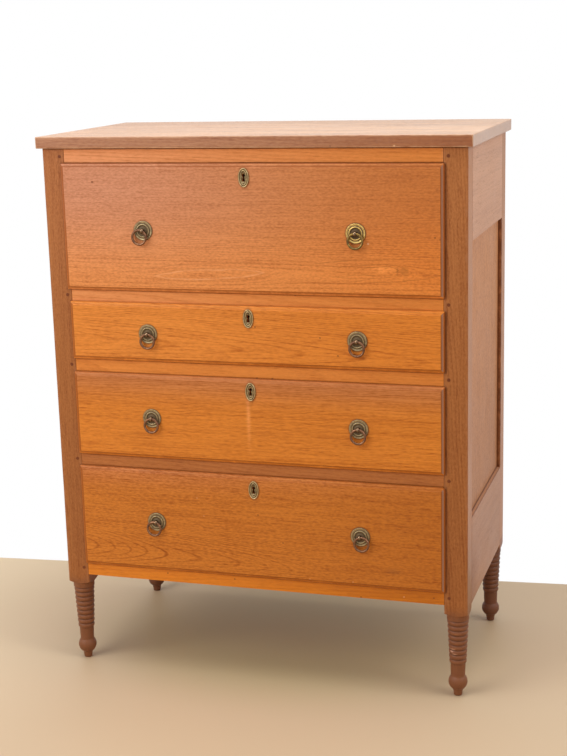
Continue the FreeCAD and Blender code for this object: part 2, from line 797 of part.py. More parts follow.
def write_drawer(drawer_index):
    """One drawer with its lock and pulls."""
    tag = "_" + str(drawer_index + 1)
    right = drawer_side(drawer_index)
    sides = [mirrored(right), right]
    write("drawer_front" + tag, [drawer_front(drawer_index, sides)])
    write("drawer_sides" + tag, sides)
    write("drawer_back" + tag, [drawer_back(drawer_index, sides)])
    write("drawer_bottom" + tag, [drawer_bottom(drawer_index)])
    write("keyhole_plate" + tag, [keyhole_plate(drawer_index)])
    write("lock" + tag, [lock(drawer_index)])
    write("lock_bolt" + tag, [lock_bolt(drawer_index)])
    pull = (pull_plate(), stud(), nut())
    fittings = [on_pull(piece, drawer_index, side) for side in range(2) for piece in pull]
    write("pull_plates" + tag, fittings)
    write("pull_ring_left" + tag, [on_pull(ring(), drawer_index, 0)])
    write("pull_ring_right" + tag, [on_pull(ring(), drawer_index, 1)])


os.makedirs("parts", exist_ok=True)
write_case()
for drawer_index in range(len(opening_heights)):
    write_drawer(drawer_index)
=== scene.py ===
import json
import math

import bmesh
import bpy
from mathutils import Matrix, Vector, noise


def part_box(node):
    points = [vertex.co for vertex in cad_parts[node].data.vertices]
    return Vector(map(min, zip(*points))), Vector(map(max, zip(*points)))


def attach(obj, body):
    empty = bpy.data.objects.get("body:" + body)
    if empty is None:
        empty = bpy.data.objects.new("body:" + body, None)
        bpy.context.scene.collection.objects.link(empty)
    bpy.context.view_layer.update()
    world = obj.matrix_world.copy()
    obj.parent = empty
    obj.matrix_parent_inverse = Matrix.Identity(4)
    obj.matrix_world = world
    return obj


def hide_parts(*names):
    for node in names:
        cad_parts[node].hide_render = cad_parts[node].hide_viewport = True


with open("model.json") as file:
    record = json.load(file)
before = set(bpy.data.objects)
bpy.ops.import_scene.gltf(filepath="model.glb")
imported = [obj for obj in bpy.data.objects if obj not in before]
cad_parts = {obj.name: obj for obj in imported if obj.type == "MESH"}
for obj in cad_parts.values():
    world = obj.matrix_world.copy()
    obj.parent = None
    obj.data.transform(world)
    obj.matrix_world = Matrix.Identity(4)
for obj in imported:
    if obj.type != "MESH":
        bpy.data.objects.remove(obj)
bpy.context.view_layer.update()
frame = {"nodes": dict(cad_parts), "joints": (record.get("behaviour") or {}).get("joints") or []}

# The looks of a post-and-panel chest of four lipped drawers on reeded turned legs.
# Metres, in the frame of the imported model: +X right, +Y to the back, +Z up.

MM = 0.001
SIDES = ("left", "right")


# ---------------------------------------------------------------- writing nodes

# Where nodes are drawn in their editor
NODE_WIDTH, NODE_HEIGHT, NODES_PER_ROW = 190, 240, 14


class Wire:
    """An output socket that can stand in a formula. Each step of the formula adds one node."""

    def __init__(self, tree, socket):
        self.tree = tree
        self.socket = socket

    def math(self, operation, *others):
        values = dict(enumerate((self,) + others))
        return add_node(self.tree, "ShaderNodeMath", values, operation=operation)

    def vector(self, operation, other):
        return add_node(self.tree, "ShaderNodeVectorMath", {0: self, 1: other}, operation=operation)

    def __add__(self, other):
        return self.math("ADD", other)

    def __sub__(self, other):
        return self.math("SUBTRACT", other)

    def __mul__(self, other):
        return self.math("MULTIPLY", other)

    def __truediv__(self, other):
        return self.math("DIVIDE", other)

    def __pow__(self, other):
        return self.math("POWER", other)

    def __rsub__(self, other):
        return self.math("MULTIPLY_ADD", -1.0, other)

    def __rtruediv__(self, other):
        return self ** -1.0 * other

    __radd__ = __add__
    __rmul__ = __mul__

    def parts(self):
        """The three numbers of a vector."""
        return [add_node(self.tree, "ShaderNodeSeparateXYZ", {0: self}, out) for out in range(3)]

    def length(self):
        return add_node(self.tree, "ShaderNodeVectorMath", {0: self}, "Value", operation="LENGTH")

    def scaled(self, x, y, z):
        return self.vector("MULTIPLY", (x, y, z))

    def eased(self, low, high):
        """0 up to low, 1 from high, and a smooth step between them."""
        values = {"Value": self, "From Min": low, "From Max": high}
        return add_node(self.tree, "ShaderNodeMapRange", values, interpolation_type="SMOOTHSTEP")

    def clouds(self, scale=1.0, detail=2.0, roughness=0.5):
        """Soft noise from 0 to 1 at this place."""
        values = {"Vector": self, "Scale": scale, "Detail": detail, "Roughness": roughness}
        return add_node(self.tree, "ShaderNodeTexNoise", values)


def add_node(tree, kind, values=None, out=0, **settings):
    """Adds a node with its settings and inputs, and gives back one of its outputs."""
    node = tree.nodes.new(kind)
    count = len(tree.nodes)
    node.location = (NODE_WIDTH * (count % NODES_PER_ROW), -NODE_HEIGHT * (count // NODES_PER_ROW))
    for name, value in settings.items():
        setattr(node, name, value)
    for key, value in (values or {}).items():
        if isinstance(value, Wire):
            tree.links.new(value.socket, node.inputs[key])
        else:
            node.inputs[key].default_value = value
    return Wire(tree, node.outputs[out])


def vector_of(tree, x, y, z):
    return add_node(tree, "ShaderNodeCombineXYZ", {0: x, 1: y, 2: z})


def mixed(share, colour, other):
    """A colour with a share of another one laid over it."""
    return add_node(share.tree, "ShaderNodeMix", {0: share, 6: colour, 7: other}, 2, data_type="RGBA")


def new_group(kind, name, inputs, outputs):
    """A node group with named sockets: gives back its tree and its inputs as wires."""
    tree = bpy.data.node_groups.new(name, kind)
    for label, (socket, value) in inputs.items():
        made = tree.interface.new_socket(name=label, in_out="INPUT", socket_type="NodeSocket" + socket)
        if value is not None:
            made.default_value = value
    for label, socket in outputs.items():
        tree.interface.new_socket(name=label, in_out="OUTPUT", socket_type="NodeSocket" + socket)
    start = tree.nodes.new("NodeGroupInput")
    return tree, {label: Wire(tree, start.outputs[label]) for label in inputs}


def end_group(tree, outputs):
    end = tree.nodes.new("NodeGroupOutput")
    for label, wire in outputs.items():
        tree.links.new(wire.socket, end.inputs[label])
    return tree


def tone(red, green, blue):
    """A colour written as it looks on a screen, 0 to 255, made linear."""
    shares = [value / 255 for value in (red, green, blue)]
    linear = [share / 12.92 if share <= 0.04045 else ((share + 0.055) / 1.055) ** 2.4 for share in shares]
    return (*linear, 1.0)


# How much of a board shows its early and its late wood
EARLY_WOOD, LATE_WOOD = 0.58, 0.42
# How far red, green and blue each follow the spread of a wood's tones
SPREAD_SHARES = (1.0, 0.95, 0.75)


def around(mean, spread):
    """The early and late tones of a wood whose average is the mean."""
    early = tone(*[min(value + LATE_WOOD * spread * share, 255) for value, share in zip(mean, SPREAD_SHARES)])
    late = tone(*[max(value - EARLY_WOOD * spread * share, 0) for value, share in zip(mean, SPREAD_SHARES)])
    return early, late


# ---------------------------------------------------------------- effects that materials share

def growth_rings_group():
    """Growth rings round a pith that runs along X, a little tapered, so a flat face cuts them in arches."""
    tree, given = new_group("ShaderNodeTree", "growth_rings", {
        "Place": ("Vector", None),
        "Pith Depth": ("Float", 0.03),
        "Pith Height": ("Float", 0.0),
        "Tilt": ("Float", 0.0),
        "Slope": ("Float", 0.03),
        "Spacing": ("Float", 0.003),
        "Waviness": ("Float", 0.006),
        "Lift": ("Float", 0.0),
        "Width": ("Float", 0.65),
    }, {"Late Wood": "Float"})
    place = given["Place"]
    x, y, z = place.parts()
    wave = place.scaled(2.6, 9.0, 9.0).clouds(detail=2.0) - 0.5
    ripple = place.scaled(16.0, 90.0, 90.0).clouds(detail=2.0) - 0.5
    off_pith = z - given["Pith Height"] - x * given["Tilt"]
    from_pith = ((y - given["Pith Depth"]) ** 2.0 + off_pith * off_pith) ** 0.5
    bent = wave * given["Waviness"] + ripple * given["Waviness"] * 0.16
    turns = (from_pith + x * given["Slope"] + bent + given["Lift"]) / given["Spacing"]
    share = turns.math("FRACT")
    late = share.eased(0.95 - given["Width"], 0.88) * (1.0 - share.eased(0.9, 1.0))
    shade = add_node(tree, "ShaderNodeTexWhiteNoise", {"W": turns.math("FLOOR")}, noise_dimensions="1D")
    return end_group(tree, {"Late Wood": late * (shade * 0.7 + 0.3)})


def figure_lift_group():
    """A swelling in the log that bends the rings into loops round one spot."""
    tree, given = new_group("ShaderNodeTree", "figure_lift", {
        "Place": ("Vector", None),
        "Centre": ("Vector", (0.0, 0.0, 0.0)),
        "Size": ("Vector", (0.1, 0.1, 0.1)),
        "Rise": ("Float", 0.01),
    }, {"Lift": "Float"})
    away = given["Place"].vector("SUBTRACT", given["Centre"]).vector("DIVIDE", given["Size"])
    bump = (away.length() ** 2.0 * -1.0).math("EXPONENT")
    return end_group(tree, {"Lift": bump * given["Rise"]})


def fibres_group():
    """Fine streaks, broad bands, short dark flecks and pores along X, all a little wavy."""
    tree, given = new_group("ShaderNodeTree", "fibres", {
        "Place": ("Vector", None),
        "Ripple": ("Float", 0.002),
        "Length": ("Float", 1.0),
        "Speckle": ("Float", 1.15),
    }, {"Streak": "Float", "Band": "Float", "Fleck": "Float", "Pore": "Float"})
    place = given["Place"].scaled(16.0, 40.0, 40.0)
    bend = (place.clouds(detail=1.0) - 0.5) * given["Ripple"]
    x, y, z = given["Place"].parts()
    bent = vector_of(tree, x, y + bend, z + bend)
    long_streaks = bent.scaled(9.0, 280.0, 280.0).clouds(detail=2.0, roughness=0.5)
    short = vector_of(tree, x / given["Length"], y + bend, z + bend)
    short_streaks = short.scaled(190.0, 330.0, 330.0).clouds(detail=1.0)
    return end_group(tree, {
        "Streak": (long_streaks - 0.5) * 0.65 + (short_streaks - 0.5) * given["Speckle"] + 0.5,
        "Band": bent.scaled(2.6, 62.0, 62.0).clouds(detail=3.0, roughness=0.5),
        "Fleck": bent.scaled(34.0, 420.0, 420.0).clouds(detail=1.0).eased(0.58, 0.76),
        "Pore": bent.scaled(130.0, 1700.0, 1700.0).clouds(detail=1.0).eased(0.58, 0.7),
    })


def spot_group():
    """A soft-edged, slightly ragged oval spot."""
    tree, given = new_group("ShaderNodeTree", "spot", {
        "Place": ("Vector", None),
        "Centre": ("Vector", (0.0, 0.0, 0.0)),
        "Size": ("Vector", (0.1, 0.1, 0.1)),
        "Softness": ("Float", 0.5),
        "Raggedness": ("Float", 0.3),
        "Grain": ("Float", 60.0),
    }, {"Mask": "Float"})
    place = given["Place"]
    away = place.vector("SUBTRACT", given["Centre"]).vector("DIVIDE", given["Size"])
    ragged = add_node(tree, "ShaderNodeTexNoise", {"Vector": place, "Scale": given["Grain"]}) - 0.5
    distance = away.length() + ragged * given["Raggedness"]
    values = {"Value": distance, "From Min": 1.0 - given["Softness"], "From Max": 1.0,
              "To Min": 1.0, "To Max": 0.0}
    mask = add_node(tree, "ShaderNodeMapRange", values, interpolation_type="SMOOTHSTEP")
    return end_group(tree, {"Mask": mask})


def grain_loop_group():
    """A thin line of grain that bends round a spot in a pointed loop, and may fade towards either end."""
    tree, given = new_group("ShaderNodeTree", "grain_loop", {
        "Place": ("Vector", None),
        "Centre": ("Vector", (0.0, 0.0, 0.0)),
        "Left Reach": ("Float", 0.1),
        "Right Reach": ("Float", 0.1),
        "Half Height": ("Float", 0.01),
        "Line Width": ("Float", 0.001),
        "Tilt": ("Float", 0.0),
        "Left Gap": ("Float", 0.0),
        "Right Gap": ("Float", 0.0),
    }, {"Mask": "Float"})
    place = given["Place"]
    x, _, z = place.vector("SUBTRACT", given["Centre"]).parts()
    right = x.math("GREATER_THAN", 0.0)
    reach = right * (given["Right Reach"] - given["Left Reach"]) + given["Left Reach"]
    out = x.math("ABSOLUTE") / reach
    level = (z - x * given["Tilt"]).math("ABSOLUTE") / given["Half Height"] + out ** 3.0
    gap = right * (given["Right Gap"] - given["Left Gap"]) + given["Left Gap"]
    wander = (place.scaled(25.0, 25.0, 120.0).clouds(detail=1.0) - 0.5) * 4.0
    off_line = ((level - 1.0) * given["Half Height"] / given["Line Width"] + wander).math("ABSOLUTE")
    strength = place.scaled(30.0, 30.0, 60.0).clouds(detail=2.0).eased(0.3, 0.6) * 0.6 + 0.4
    closed = 1.0 - out.eased(0.45, 0.9) * gap
    return end_group(tree, {"Mask": (1.0 - off_line.eased(0.3, 1.3)) * strength * closed})


def seam_dirt_and_light_group():
    """A tone laid near a long thin box, with a ragged edge: dirt and dark joints, and painted shade and light
    along seams and sides.
    """
    tree, given = new_group("ShaderNodeTree", "seam_dirt_and_light", {
        "Place": ("Vector", None),
        "Low": ("Vector", (0.0, 0.0, 0.0)),
        "High": ("Vector", (0.1, 0.1, 0.1)),
        "Softness": ("Float", 0.003),
    }, {"Mask": "Float"})
    place = given["Place"]
    below = given["Low"].vector("SUBTRACT", place)
    above = place.vector("SUBTRACT", given["High"])
    outside = below.vector("MAXIMUM", above).vector("MAXIMUM", (0.0, 0.0, 0.0))
    distance = outside.length() / given["Softness"]
    ragged = place.clouds(scale=70.0, detail=3.0, roughness=0.6) - 0.5
    return end_group(tree, {"Mask": 1.0 - (distance + ragged * 0.8).eased(0.0, 1.0)})


def wear_grime_and_light_group():
    """A mask stored on the piece, such as its worn arrises with their painted highlights, and its grimy
    hollows with their painted shade, broken up by noise.
    """
    tree, given = new_group("ShaderNodeTree", "wear_grime_and_light", {
        "Place": ("Vector", None),
        "Stored": ("Float", 0.0),
        "Amount": ("Float", 0.5),
    }, {"Mask": "Float"})
    stored = given["Stored"]
    patches = given["Place"].clouds(scale=38.0, detail=3.0, roughness=0.65)
    mask = (stored * given["Amount"] + (patches - 0.5) * 0.9).eased(0.25, 0.7)
    return end_group(tree, {"Mask": mask * stored})


def tarnish_group():
    """Brown tarnish over brass: patches, and most of it in the hollows."""
    tree, given = new_group("ShaderNodeTree", "tarnish", {
        "Place": ("Vector", None),
        "Amount": ("Float", 0.5),
    }, {"Mask": "Float", "Pits": "Float"})
    place = given["Place"]
    hollow = add_node(tree, "ShaderNodeAttribute", out="Fac", attribute_name="hollow")
    patches = place.clouds(scale=140.0, detail=4.0, roughness=0.6)
    mask = (patches - 0.5) * 1.4 + given["Amount"] + hollow * 0.75
    pits = place.clouds(scale=900.0, detail=2.0)
    return end_group(tree, {"Mask": mask.eased(0.2, 0.95), "Pits": pits})


GROWTH_RINGS = growth_rings_group()
FIGURE_LIFT = figure_lift_group()
FIBRES = fibres_group()
SPOT = spot_group()
GRAIN_LOOP = grain_loop_group()
SEAM_DIRT_AND_LIGHT = seam_dirt_and_light_group()
WEAR_GRIME_AND_LIGHT = wear_grime_and_light_group()
TARNISH = tarnish_group()


# ---------------------------------------------------------------- materials

def new_material(name):
    material = bpy.data.materials.new(name)
    material.use_nodes = True
    material.node_tree.nodes.clear()
    place = add_node(material.node_tree, "ShaderNodeTexCoord", out="Object")
    return material, material.node_tree, place


def shaded(tree, values):
    """Ends a material in one Principled shader."""
    surface = add_node(tree, "ShaderNodeBsdfPrincipled", values)
    end = tree.nodes.new("ShaderNodeOutputMaterial")
    tree.links.new(surface.socket, end.inputs["Surface"])


def bumped(height, distance, strength=1.0):
    values = {"Height": height, "Distance": distance, "Strength": strength}
    return add_node(height.tree, "ShaderNodeBump", values, out="Normal")


def group_in(tree, group, values, out):
    """Places a shared effect in a material and gives back one of its outputs."""
    return add_node(tree, "ShaderNodeGroup", values, out, node_tree=group)


# How deep a wood's tone is before its figure, what its pores add, and how much of its rings may fade out
BASE_DEPTH = 0.3
PORE_DEPTH = 0.1
FADE_SHARE = 0.8
# How far the sheen changes over a board and in its flecks
SHEEN_CHANGE = 0.16
FLECK_SHEEN = 0.08
# How high the fibres stand, and how many waves of its ragged edge go into a spot's size
FIBRE_HEIGHT = 0.25 * MM
SPOT_GRAIN = 0.9


def wood(name, early, late, along="X", pith=(0.05, 0.0), slope=0.02, tilt=0.0, spacing=2.6, waviness=6.0,
         width=0.65, rings=0.2, streaks=1.1, bands=0.3, flecks=0.25, ripple=2.0, length=1.0, speckle=1.15,
         fade=None, lifts=(), patches=(), loops=(), loop_tilt=0.0, seams=(), spots=(), grime=None, wear_and_highlight=None,
         wear=0.5, roughness=0.45, gloss=0.3):
    """A finished wood. Its figure is cut from growth rings whose pith runs along one axis."""
    material, tree, place = new_material(name)
    x, y, z = place.parts()
    turned = {"X": place, "Y": vector_of(tree, y, x, z), "Z": vector_of(tree, z, y, x)}[along]
    lift = 0.0
    for centre, size, rise in lifts:
        values = {"Place": turned, "Centre": centre, "Size": size, "Rise": rise}
        lift = group_in(tree, FIGURE_LIFT, values, "Lift") + lift
    late_wood = group_in(tree, GROWTH_RINGS, {
        "Place": turned, "Pith Depth": pith[0], "Pith Height": pith[1], "Tilt": tilt, "Slope": slope,
        "Spacing": spacing * MM, "Waviness": waviness * MM, "Lift": lift, "Width": width,
    }, "Late Wood")
    if fade:
        late_wood = late_wood * (1.0 - x.eased(*fade) * FADE_SHARE)
    values = {"Place": turned, "Ripple": ripple * MM, "Length": length, "Speckle": speckle}
    streak, band, fleck, pore = [group_in(tree, FIBRES, values, out)
                                 for out in ("Streak", "Band", "Fleck", "Pore")]
    fibres = (streak - 0.5) * streaks + (band - 0.5) * bands + fleck * flecks + pore * PORE_DEPTH
    colour = mixed((late_wood * rings + fibres + BASE_DEPTH).eased(0.0, 1.0), early, late)
    usual = [light * EARLY_WOOD + dark * LATE_WOOD for light, dark in zip(early, late)]
    for centre, size, patch_tone, share in patches:
        values = {"Place": place, "Centre": centre, "Size": size, "Rise": share}
        ratio = [wanted / average for wanted, average in zip(patch_tone[:3], usual)]
        colour = mixed(group_in(tree, FIGURE_LIFT, values, "Lift"), colour, colour.vector("MULTIPLY", ratio))
    for centre, reaches, gaps, half_height, line, loop_tone, share in loops:
        values = {"Place": place, "Centre": centre, "Tilt": loop_tilt,
                  "Left Reach": reaches[0] * MM, "Right Reach": reaches[1] * MM,
                  "Left Gap": gaps[0], "Right Gap": gaps[1],
                  "Half Height": half_height * MM, "Line Width": line * MM}
        colour = mixed(group_in(tree, GRAIN_LOOP, values, "Mask") * share, colour, loop_tone)
    for low, high, softness, seam_tone, share in seams:
        values = {"Place": place, "Low": low, "High": high, "Softness": softness * MM}
        colour = mixed(group_in(tree, SEAM_DIRT_AND_LIGHT, values, "Mask") * share, colour, seam_tone)
    for centre, size, softness, raggedness, spot_tone, share in spots:
        values = {"Place": place, "Centre": centre, "Size": size, "Softness": softness,
                  "Raggedness": raggedness, "Grain": SPOT_GRAIN / size[0]}
        colour = mixed(group_in(tree, SPOT, values, "Mask") * share, colour, spot_tone)
    # Stored grime with painted shade, then worn arrises with painted highlights
    for label, tint, amount in (("grime", grime, 1.0), ("arris", wear_and_highlight, wear)):
        if tint:
            stored = add_node(tree, "ShaderNodeAttribute", out="Fac", attribute_name=label)
            values = {"Place": place, "Stored": stored, "Amount": amount}
            colour = mixed(group_in(tree, WEAR_GRIME_AND_LIGHT, values, "Mask"), colour, tint)
    sheen_patches = place.clouds(scale=14.0, detail=3.0)
    shaded(tree, {
        "Base Color": colour,
        "Roughness": (sheen_patches - 0.5) * SHEEN_CHANGE + (fleck * FLECK_SHEEN + roughness),
        "Specular IOR Level": gloss,
        "Normal": bumped(streak * 0.5 - pore * 0.5 - fleck * 0.3, FIBRE_HEIGHT),
    })
    return material


# How high pits and rust stand on metal
METAL_HEIGHT = 0.1 * MM


def brass(name, bright, dull, amount, roughness=0.3, metal=1.0):
    """Old brass, bright where it is handled and brown in the hollows."""
    material, tree, place = new_material(name)
    values = {"Place": place, "Amount": amount}
    mask, pits = [group_in(tree, TARNISH, values, out) for out in ("Mask", "Pits")]
    shaded(tree, {
        "Base Color": mixed(mask, bright, dull),
        "Metallic": (1.0 - mask * 0.45) * metal,
        "Roughness": mask * 0.3 + roughness,
        "Normal": bumped(pits, METAL_HEIGHT, 0.5),
    })
    return material


def steel(name):
    """Dark, slightly rusted steel."""
    material, tree, place = new_material(name)
    rust = place.clouds(scale=160.0, detail=4.0).eased(0.45, 0.7)
    shaded(tree, {
        "Base Color": mixed(rust, tone(96, 92, 88), tone(84, 56, 40)),
        "Metallic": 1.0 - rust * 0.7,
        "Roughness": rust * 0.3 + 0.42,
        "Normal": bumped(rust, METAL_HEIGHT),
    })
    return material


# ---------------------------------------------------------------- making pieces

def new_piece(name, mesh):
    piece = bpy.data.objects.new(name, mesh)
    bpy.context.scene.collection.objects.link(piece)
    return piece


# Points closer than this are one
SAME_PLACE = 1e-6


def piece_from(shell, name, material):
    """Makes a piece of one material from a shell, with its faces turned outwards."""
    bmesh.ops.recalc_face_normals(shell, faces=shell.faces)
    mesh = bpy.data.meshes.new(name)
    shell.to_mesh(mesh)
    shell.free()
    mesh.materials.append(material)
    return new_piece(name, mesh)


def banded(shell, first, second):
    """Joins two rings of as many points by a band of faces."""
    for index in range(len(first)):
        following = (index + 1) % len(first)
        shell.faces.new((first[index], first[following], second[following], second[index]))


def plain(piece):
    """Turns a piece and its modifiers into a plain mesh whose faces point outwards."""
    graph = bpy.context.evaluated_depsgraph_get()
    made = piece.evaluated_get(graph)
    mesh = bpy.data.meshes.new_from_object(made, preserve_all_data_layers=True, depsgraph=graph)
    piece.modifiers.clear()
    piece.data = mesh
    shell = bmesh.new()
    shell.from_mesh(mesh)
    bmesh.ops.remove_doubles(shell, verts=shell.verts, dist=SAME_PLACE)
    bmesh.ops.recalc_face_normals(shell, faces=shell.faces)
    used = sorted({face.material_index for face in shell.faces})
    for face in shell.faces:
        face.material_index = used.index(face.material_index)
    shell.to_mesh(mesh)
    shell.free()
    kept = [mesh.materials[index] for index in used]
    mesh.materials.clear()
    for material in kept:
        mesh.materials.append(material)
    return piece


def removed(*pieces):
    for piece in pieces:
        bpy.data.objects.remove(piece)


def outline_mesh(name, points, **attributes):
    """An open line of points, with an attribute for each list of numbers."""
    mesh = bpy.data.meshes.new(name)
    mesh.from_pydata(points, [(index, index + 1) for index in range(len(points) - 1)], [])
    for label, numbers in attributes.items():
        mesh.attributes.new(label, "FLOAT", "POINT").data.foreach_set("value", numbers)
    return mesh


def shaped_by(piece, tree, values):
    """Runs a geometry node tree on a piece and keeps the result as its mesh."""
    modifier = piece.modifiers.new("shape", "NODES")
    modifier.node_group = tree
    for item in tree.interface.items_tree:
        if item.name in values:
            modifier[item.identifier] = values[item.name]
    return plain(piece)


def cut(piece, tool):
    """Cuts a piece with another one, which is used up."""
    modifier = piece.modifiers.new("cut", "BOOLEAN")
    modifier.object = tool
    modifier.operation = "DIFFERENCE"
    modifier.solver = "EXACT"
    modifier.material_mode = "TRANSFER"
    plain(piece)
    removed(tool)
    return piece


def joined(name, pieces):
    """One piece from several, each with its own materials."""
    mesh = bpy.data.meshes.new(name)
    shell = bmesh.new()
    materials = []
    for piece in pieces:
        first_face = len(shell.faces)
        shell.from_mesh(piece.data)
        shell.faces.ensure_lookup_table()
        for face in shell.faces[first_face:]:
            material = piece.data.materials[face.material_index]
            if material not in materials:
                materials.append(material)
            face.material_index = materials.index(material)
    shell.to_mesh(mesh)
    shell.free()
    for material in materials:
        mesh.materials.append(material)
    removed(*pieces)
    return new_piece(name, mesh)


def settled(piece, body, slot, *nodes):
    """Puts a finished piece on its body in place of the nodes it stands for."""
    if nodes:
        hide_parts(*nodes)
    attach(piece, body)
    return piece


def finished(node, material):
    """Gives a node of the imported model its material."""
    mesh = frame["nodes"][node].data
    mesh.materials.clear()
    mesh.materials.append(material)


# ---------------------------------------------------------------- geometry node trees

def rows_and_columns(tree, outline, sides):
    """A grid with one row for each point of an outline, and for each of its points the row and the angle."""
    rows = add_node(tree, "GeometryNodeAttributeDomainSize", {"Geometry": outline}, "Point Count")
    values = {"Vertices X": sides + 1, "Vertices Y": rows}
    grid = add_node(tree, "GeometryNodeMeshGrid", values, "Mesh")
    index = add_node(tree, "GeometryNodeInputIndex")
    row = index.math("MODULO", rows)
    angle = (index / rows).math("FLOOR") / sides * math.tau
    return grid, row, angle


def sampled(tree, outline, row, value, data_type):
    values = {"Geometry": outline, "Value": value, "Index": row}
    return add_node(tree, "GeometryNodeSampleIndex", values, data_type=data_type)


def closed_surface(tree, grid, position, **attributes):
    """Moves the grid's points to the surface, stores what lies on it and closes its seam and poles."""
    shape = add_node(tree, "GeometryNodeSetPosition", {"Geometry": grid, "Position": position})
    for label, value in attributes.items():
        values = {"Geometry": shape, "Name": label, "Value": value}
        shape = add_node(tree, "GeometryNodeStoreNamedAttribute", values, data_type="FLOAT")
    closed = add_node(tree, "GeometryNodeMergeByDistance", {"Geometry": shape, "Distance": SAME_PLACE})
    return add_node(tree, "GeometryNodeSetShadeSmooth", {"Geometry": closed})


def ended(tree, geometry, material):
    real = add_node(tree, "GeometryNodeRealizeInstances", {"Geometry": geometry})
    return add_node(tree, "GeometryNodeSetMaterial", {"Geometry": real, "Material": material})


def post_turning_tree():
    """A square post turned round below its shoulder, with rings cut between two heights."""
    tree, given = new_group("GeometryNodeTree", "post_turning", {
        "Outline": ("Geometry", None),
        "Sides": ("Int", 144),
        "Half Width": ("Float", 0.022),
        "Squareness": ("Float", 30.0),
        "Ring Count": ("Float", 9.0),
        "Rings Low": ("Float", 0.07),
        "Rings High": ("Float", 0.16),
        "Groove Depth": ("Float", 0.0022),
        "Unevenness": ("Float", 0.0003),
        "Shoulder": ("Float", 0.19),
        "Material": ("Material", None),
    }, {"Post": "Geometry"})
    grid, row, angle = rows_and_columns(tree, given["Outline"], given["Sides"])
    position = add_node(tree, "GeometryNodeInputPosition")
    radius, _, height = sampled(tree, given["Outline"], row, position, "FLOAT_VECTOR").parts()
    share = (height - given["Rings Low"]) / (given["Rings High"] - given["Rings Low"])
    inside = share.math("GREATER_THAN", -1e-4) * share.math("LESS_THAN", 1.0001)
    turns = share * given["Ring Count"]
    valley = (turns.math("FRACT") * 2.0 - 1.0) ** 2.0
    ring_noise = add_node(tree, "ShaderNodeTexNoise", {"W": height * 70.0}, noise_dimensions="1D")
    turned = radius - inside * (valley * given["Groove Depth"]) + (ring_noise - 0.5) * given["Unevenness"]
    wear = add_node(tree, "ShaderNodeTexNoise", {"W": height * 22.0 + angle * 0.5}, noise_dimensions="1D")
    power = given["Squareness"] * (wear * 0.9 + 0.55)
    across = angle.math("COSINE").math("ABSOLUTE")
    along = angle.math("SINE").math("ABSOLUTE")
    total = across ** power + along ** power
    square = given["Half Width"] / total.math("POWER", power.math("POWER", -1.0))
    on_axis = radius.math("GREATER_THAN", 1e-5)
    reach = turned.math("MINIMUM", square) * on_axis
    place = vector_of(tree, reach * angle.math("COSINE"), reach * angle.math("SINE"), height)
    corner = (across * along).eased(0.44, 0.5)
    above = height.math("GREATER_THAN", given["Shoulder"])
    # Painted highlights on the rings' crests, and painted shade in their grooves, stored for the wood
    crest_highlight = ((1.0 - valley) * inside).eased(0.55, 1.0)
    grime = (valley * inside).eased(0.4, 0.9)
    surface = closed_surface(tree, grid, place, arris=corner * above + crest_highlight * 0.75, grime=grime)
    return end_group(tree, {"Post": ended(tree, surface, given["Material"])})


def fitting_turning_tree():
    """A turned fitting, round or oval, set out at every spot."""
    tree, given = new_group("GeometryNodeTree", "fitting_turning", {
        "Spots": ("Geometry", None),
        "Outline": ("Object", None),
        "Sides": ("Int", 64),
        "Half Width": ("Float", 0.02),
        "Half Height": ("Float", 0.02),
        "Material": ("Material", None),
    }, {"Fittings": "Geometry"})
    outline = add_node(tree, "GeometryNodeObjectInfo", {"Object": given["Outline"]}, "Geometry")
    grid, row, angle = rows_and_columns(tree, outline, given["Sides"])
    position = add_node(tree, "GeometryNodeInputPosition")
    inset, depth, _ = sampled(tree, outline, row, position, "FLOAT_VECTOR").parts()
    hollow = add_node(tree, "GeometryNodeInputNamedAttribute", {"Name": "hollow"}, data_type="FLOAT")
    hollow = sampled(tree, outline, row, hollow, "FLOAT")
    place = vector_of(
        tree,
        (given["Half Width"] - inset) * angle.math("COSINE"),
        depth,
        (given["Half Height"] - inset) * angle.math("SINE"),
    )
    surface = closed_surface(tree, grid, place, hollow=hollow)
    values = {"Points": given["Spots"], "Instance": surface}
    set_out = add_node(tree, "GeometryNodeInstanceOnPoints", values)
    return end_group(tree, {"Fittings": ended(tree, set_out, given["Material"])})


POST_TURNING = post_turning_tree()
FITTING_TURNING = fitting_turning_tree()


def turned_fittings(name, outline, hollows, spots, half_width, half_height, material, sides):
    """The same turned fitting at every spot. Its outline gives the inset from the rim and the depth."""
    points = [(inset * MM, depth * MM, 0.0) for inset, depth in outline]
    pattern = new_piece(name + "_outline", outline_mesh(name + "_outline", points, hollow=hollows))
    mesh = bpy.data.meshes.new(name)
    mesh.from_pydata([tuple(spot) for spot in spots], [], [])
    piece = new_piece(name, mesh)
    shaped_by(piece, FITTING_TURNING, {
        "Outline": pattern,
        "Sides": sides,
        "Half Width": half_width * MM,
        "Half Height": half_height * MM,
        "Material": material,
    })
    removed(pattern)
    return piece


# ---------------------------------------------------------------- boards

# Grid lines beside an arris, as shares of its easing
ARRIS_LINES = (0.0, 0.586, 1.0, 2.8)
ROUNDED_LINES = 3
# The grid's usual step over a board, and how much and how closely hand work varies an arris
BOARD_STEP = 30.0 * MM
HAND_WORK = 0.4
HAND_WORK_SCALE = 31.0


def cuts(low, high, easing):
    """Grid lines across a board: close together by its arrises, then evenly spaced."""
    edge = [easing * share for share in ARRIS_LINES]
    inner_low, inner_high = low + edge[-1], high - edge[-1]
    count = max(1, round((inner_high - inner_low) / BOARD_STEP))
    inner = [inner_low + (inner_high - inner_low) * index / count for index in range(1, count)]
    return [low + value for value in edge] + inner + [high - value for value in reversed(edge)]


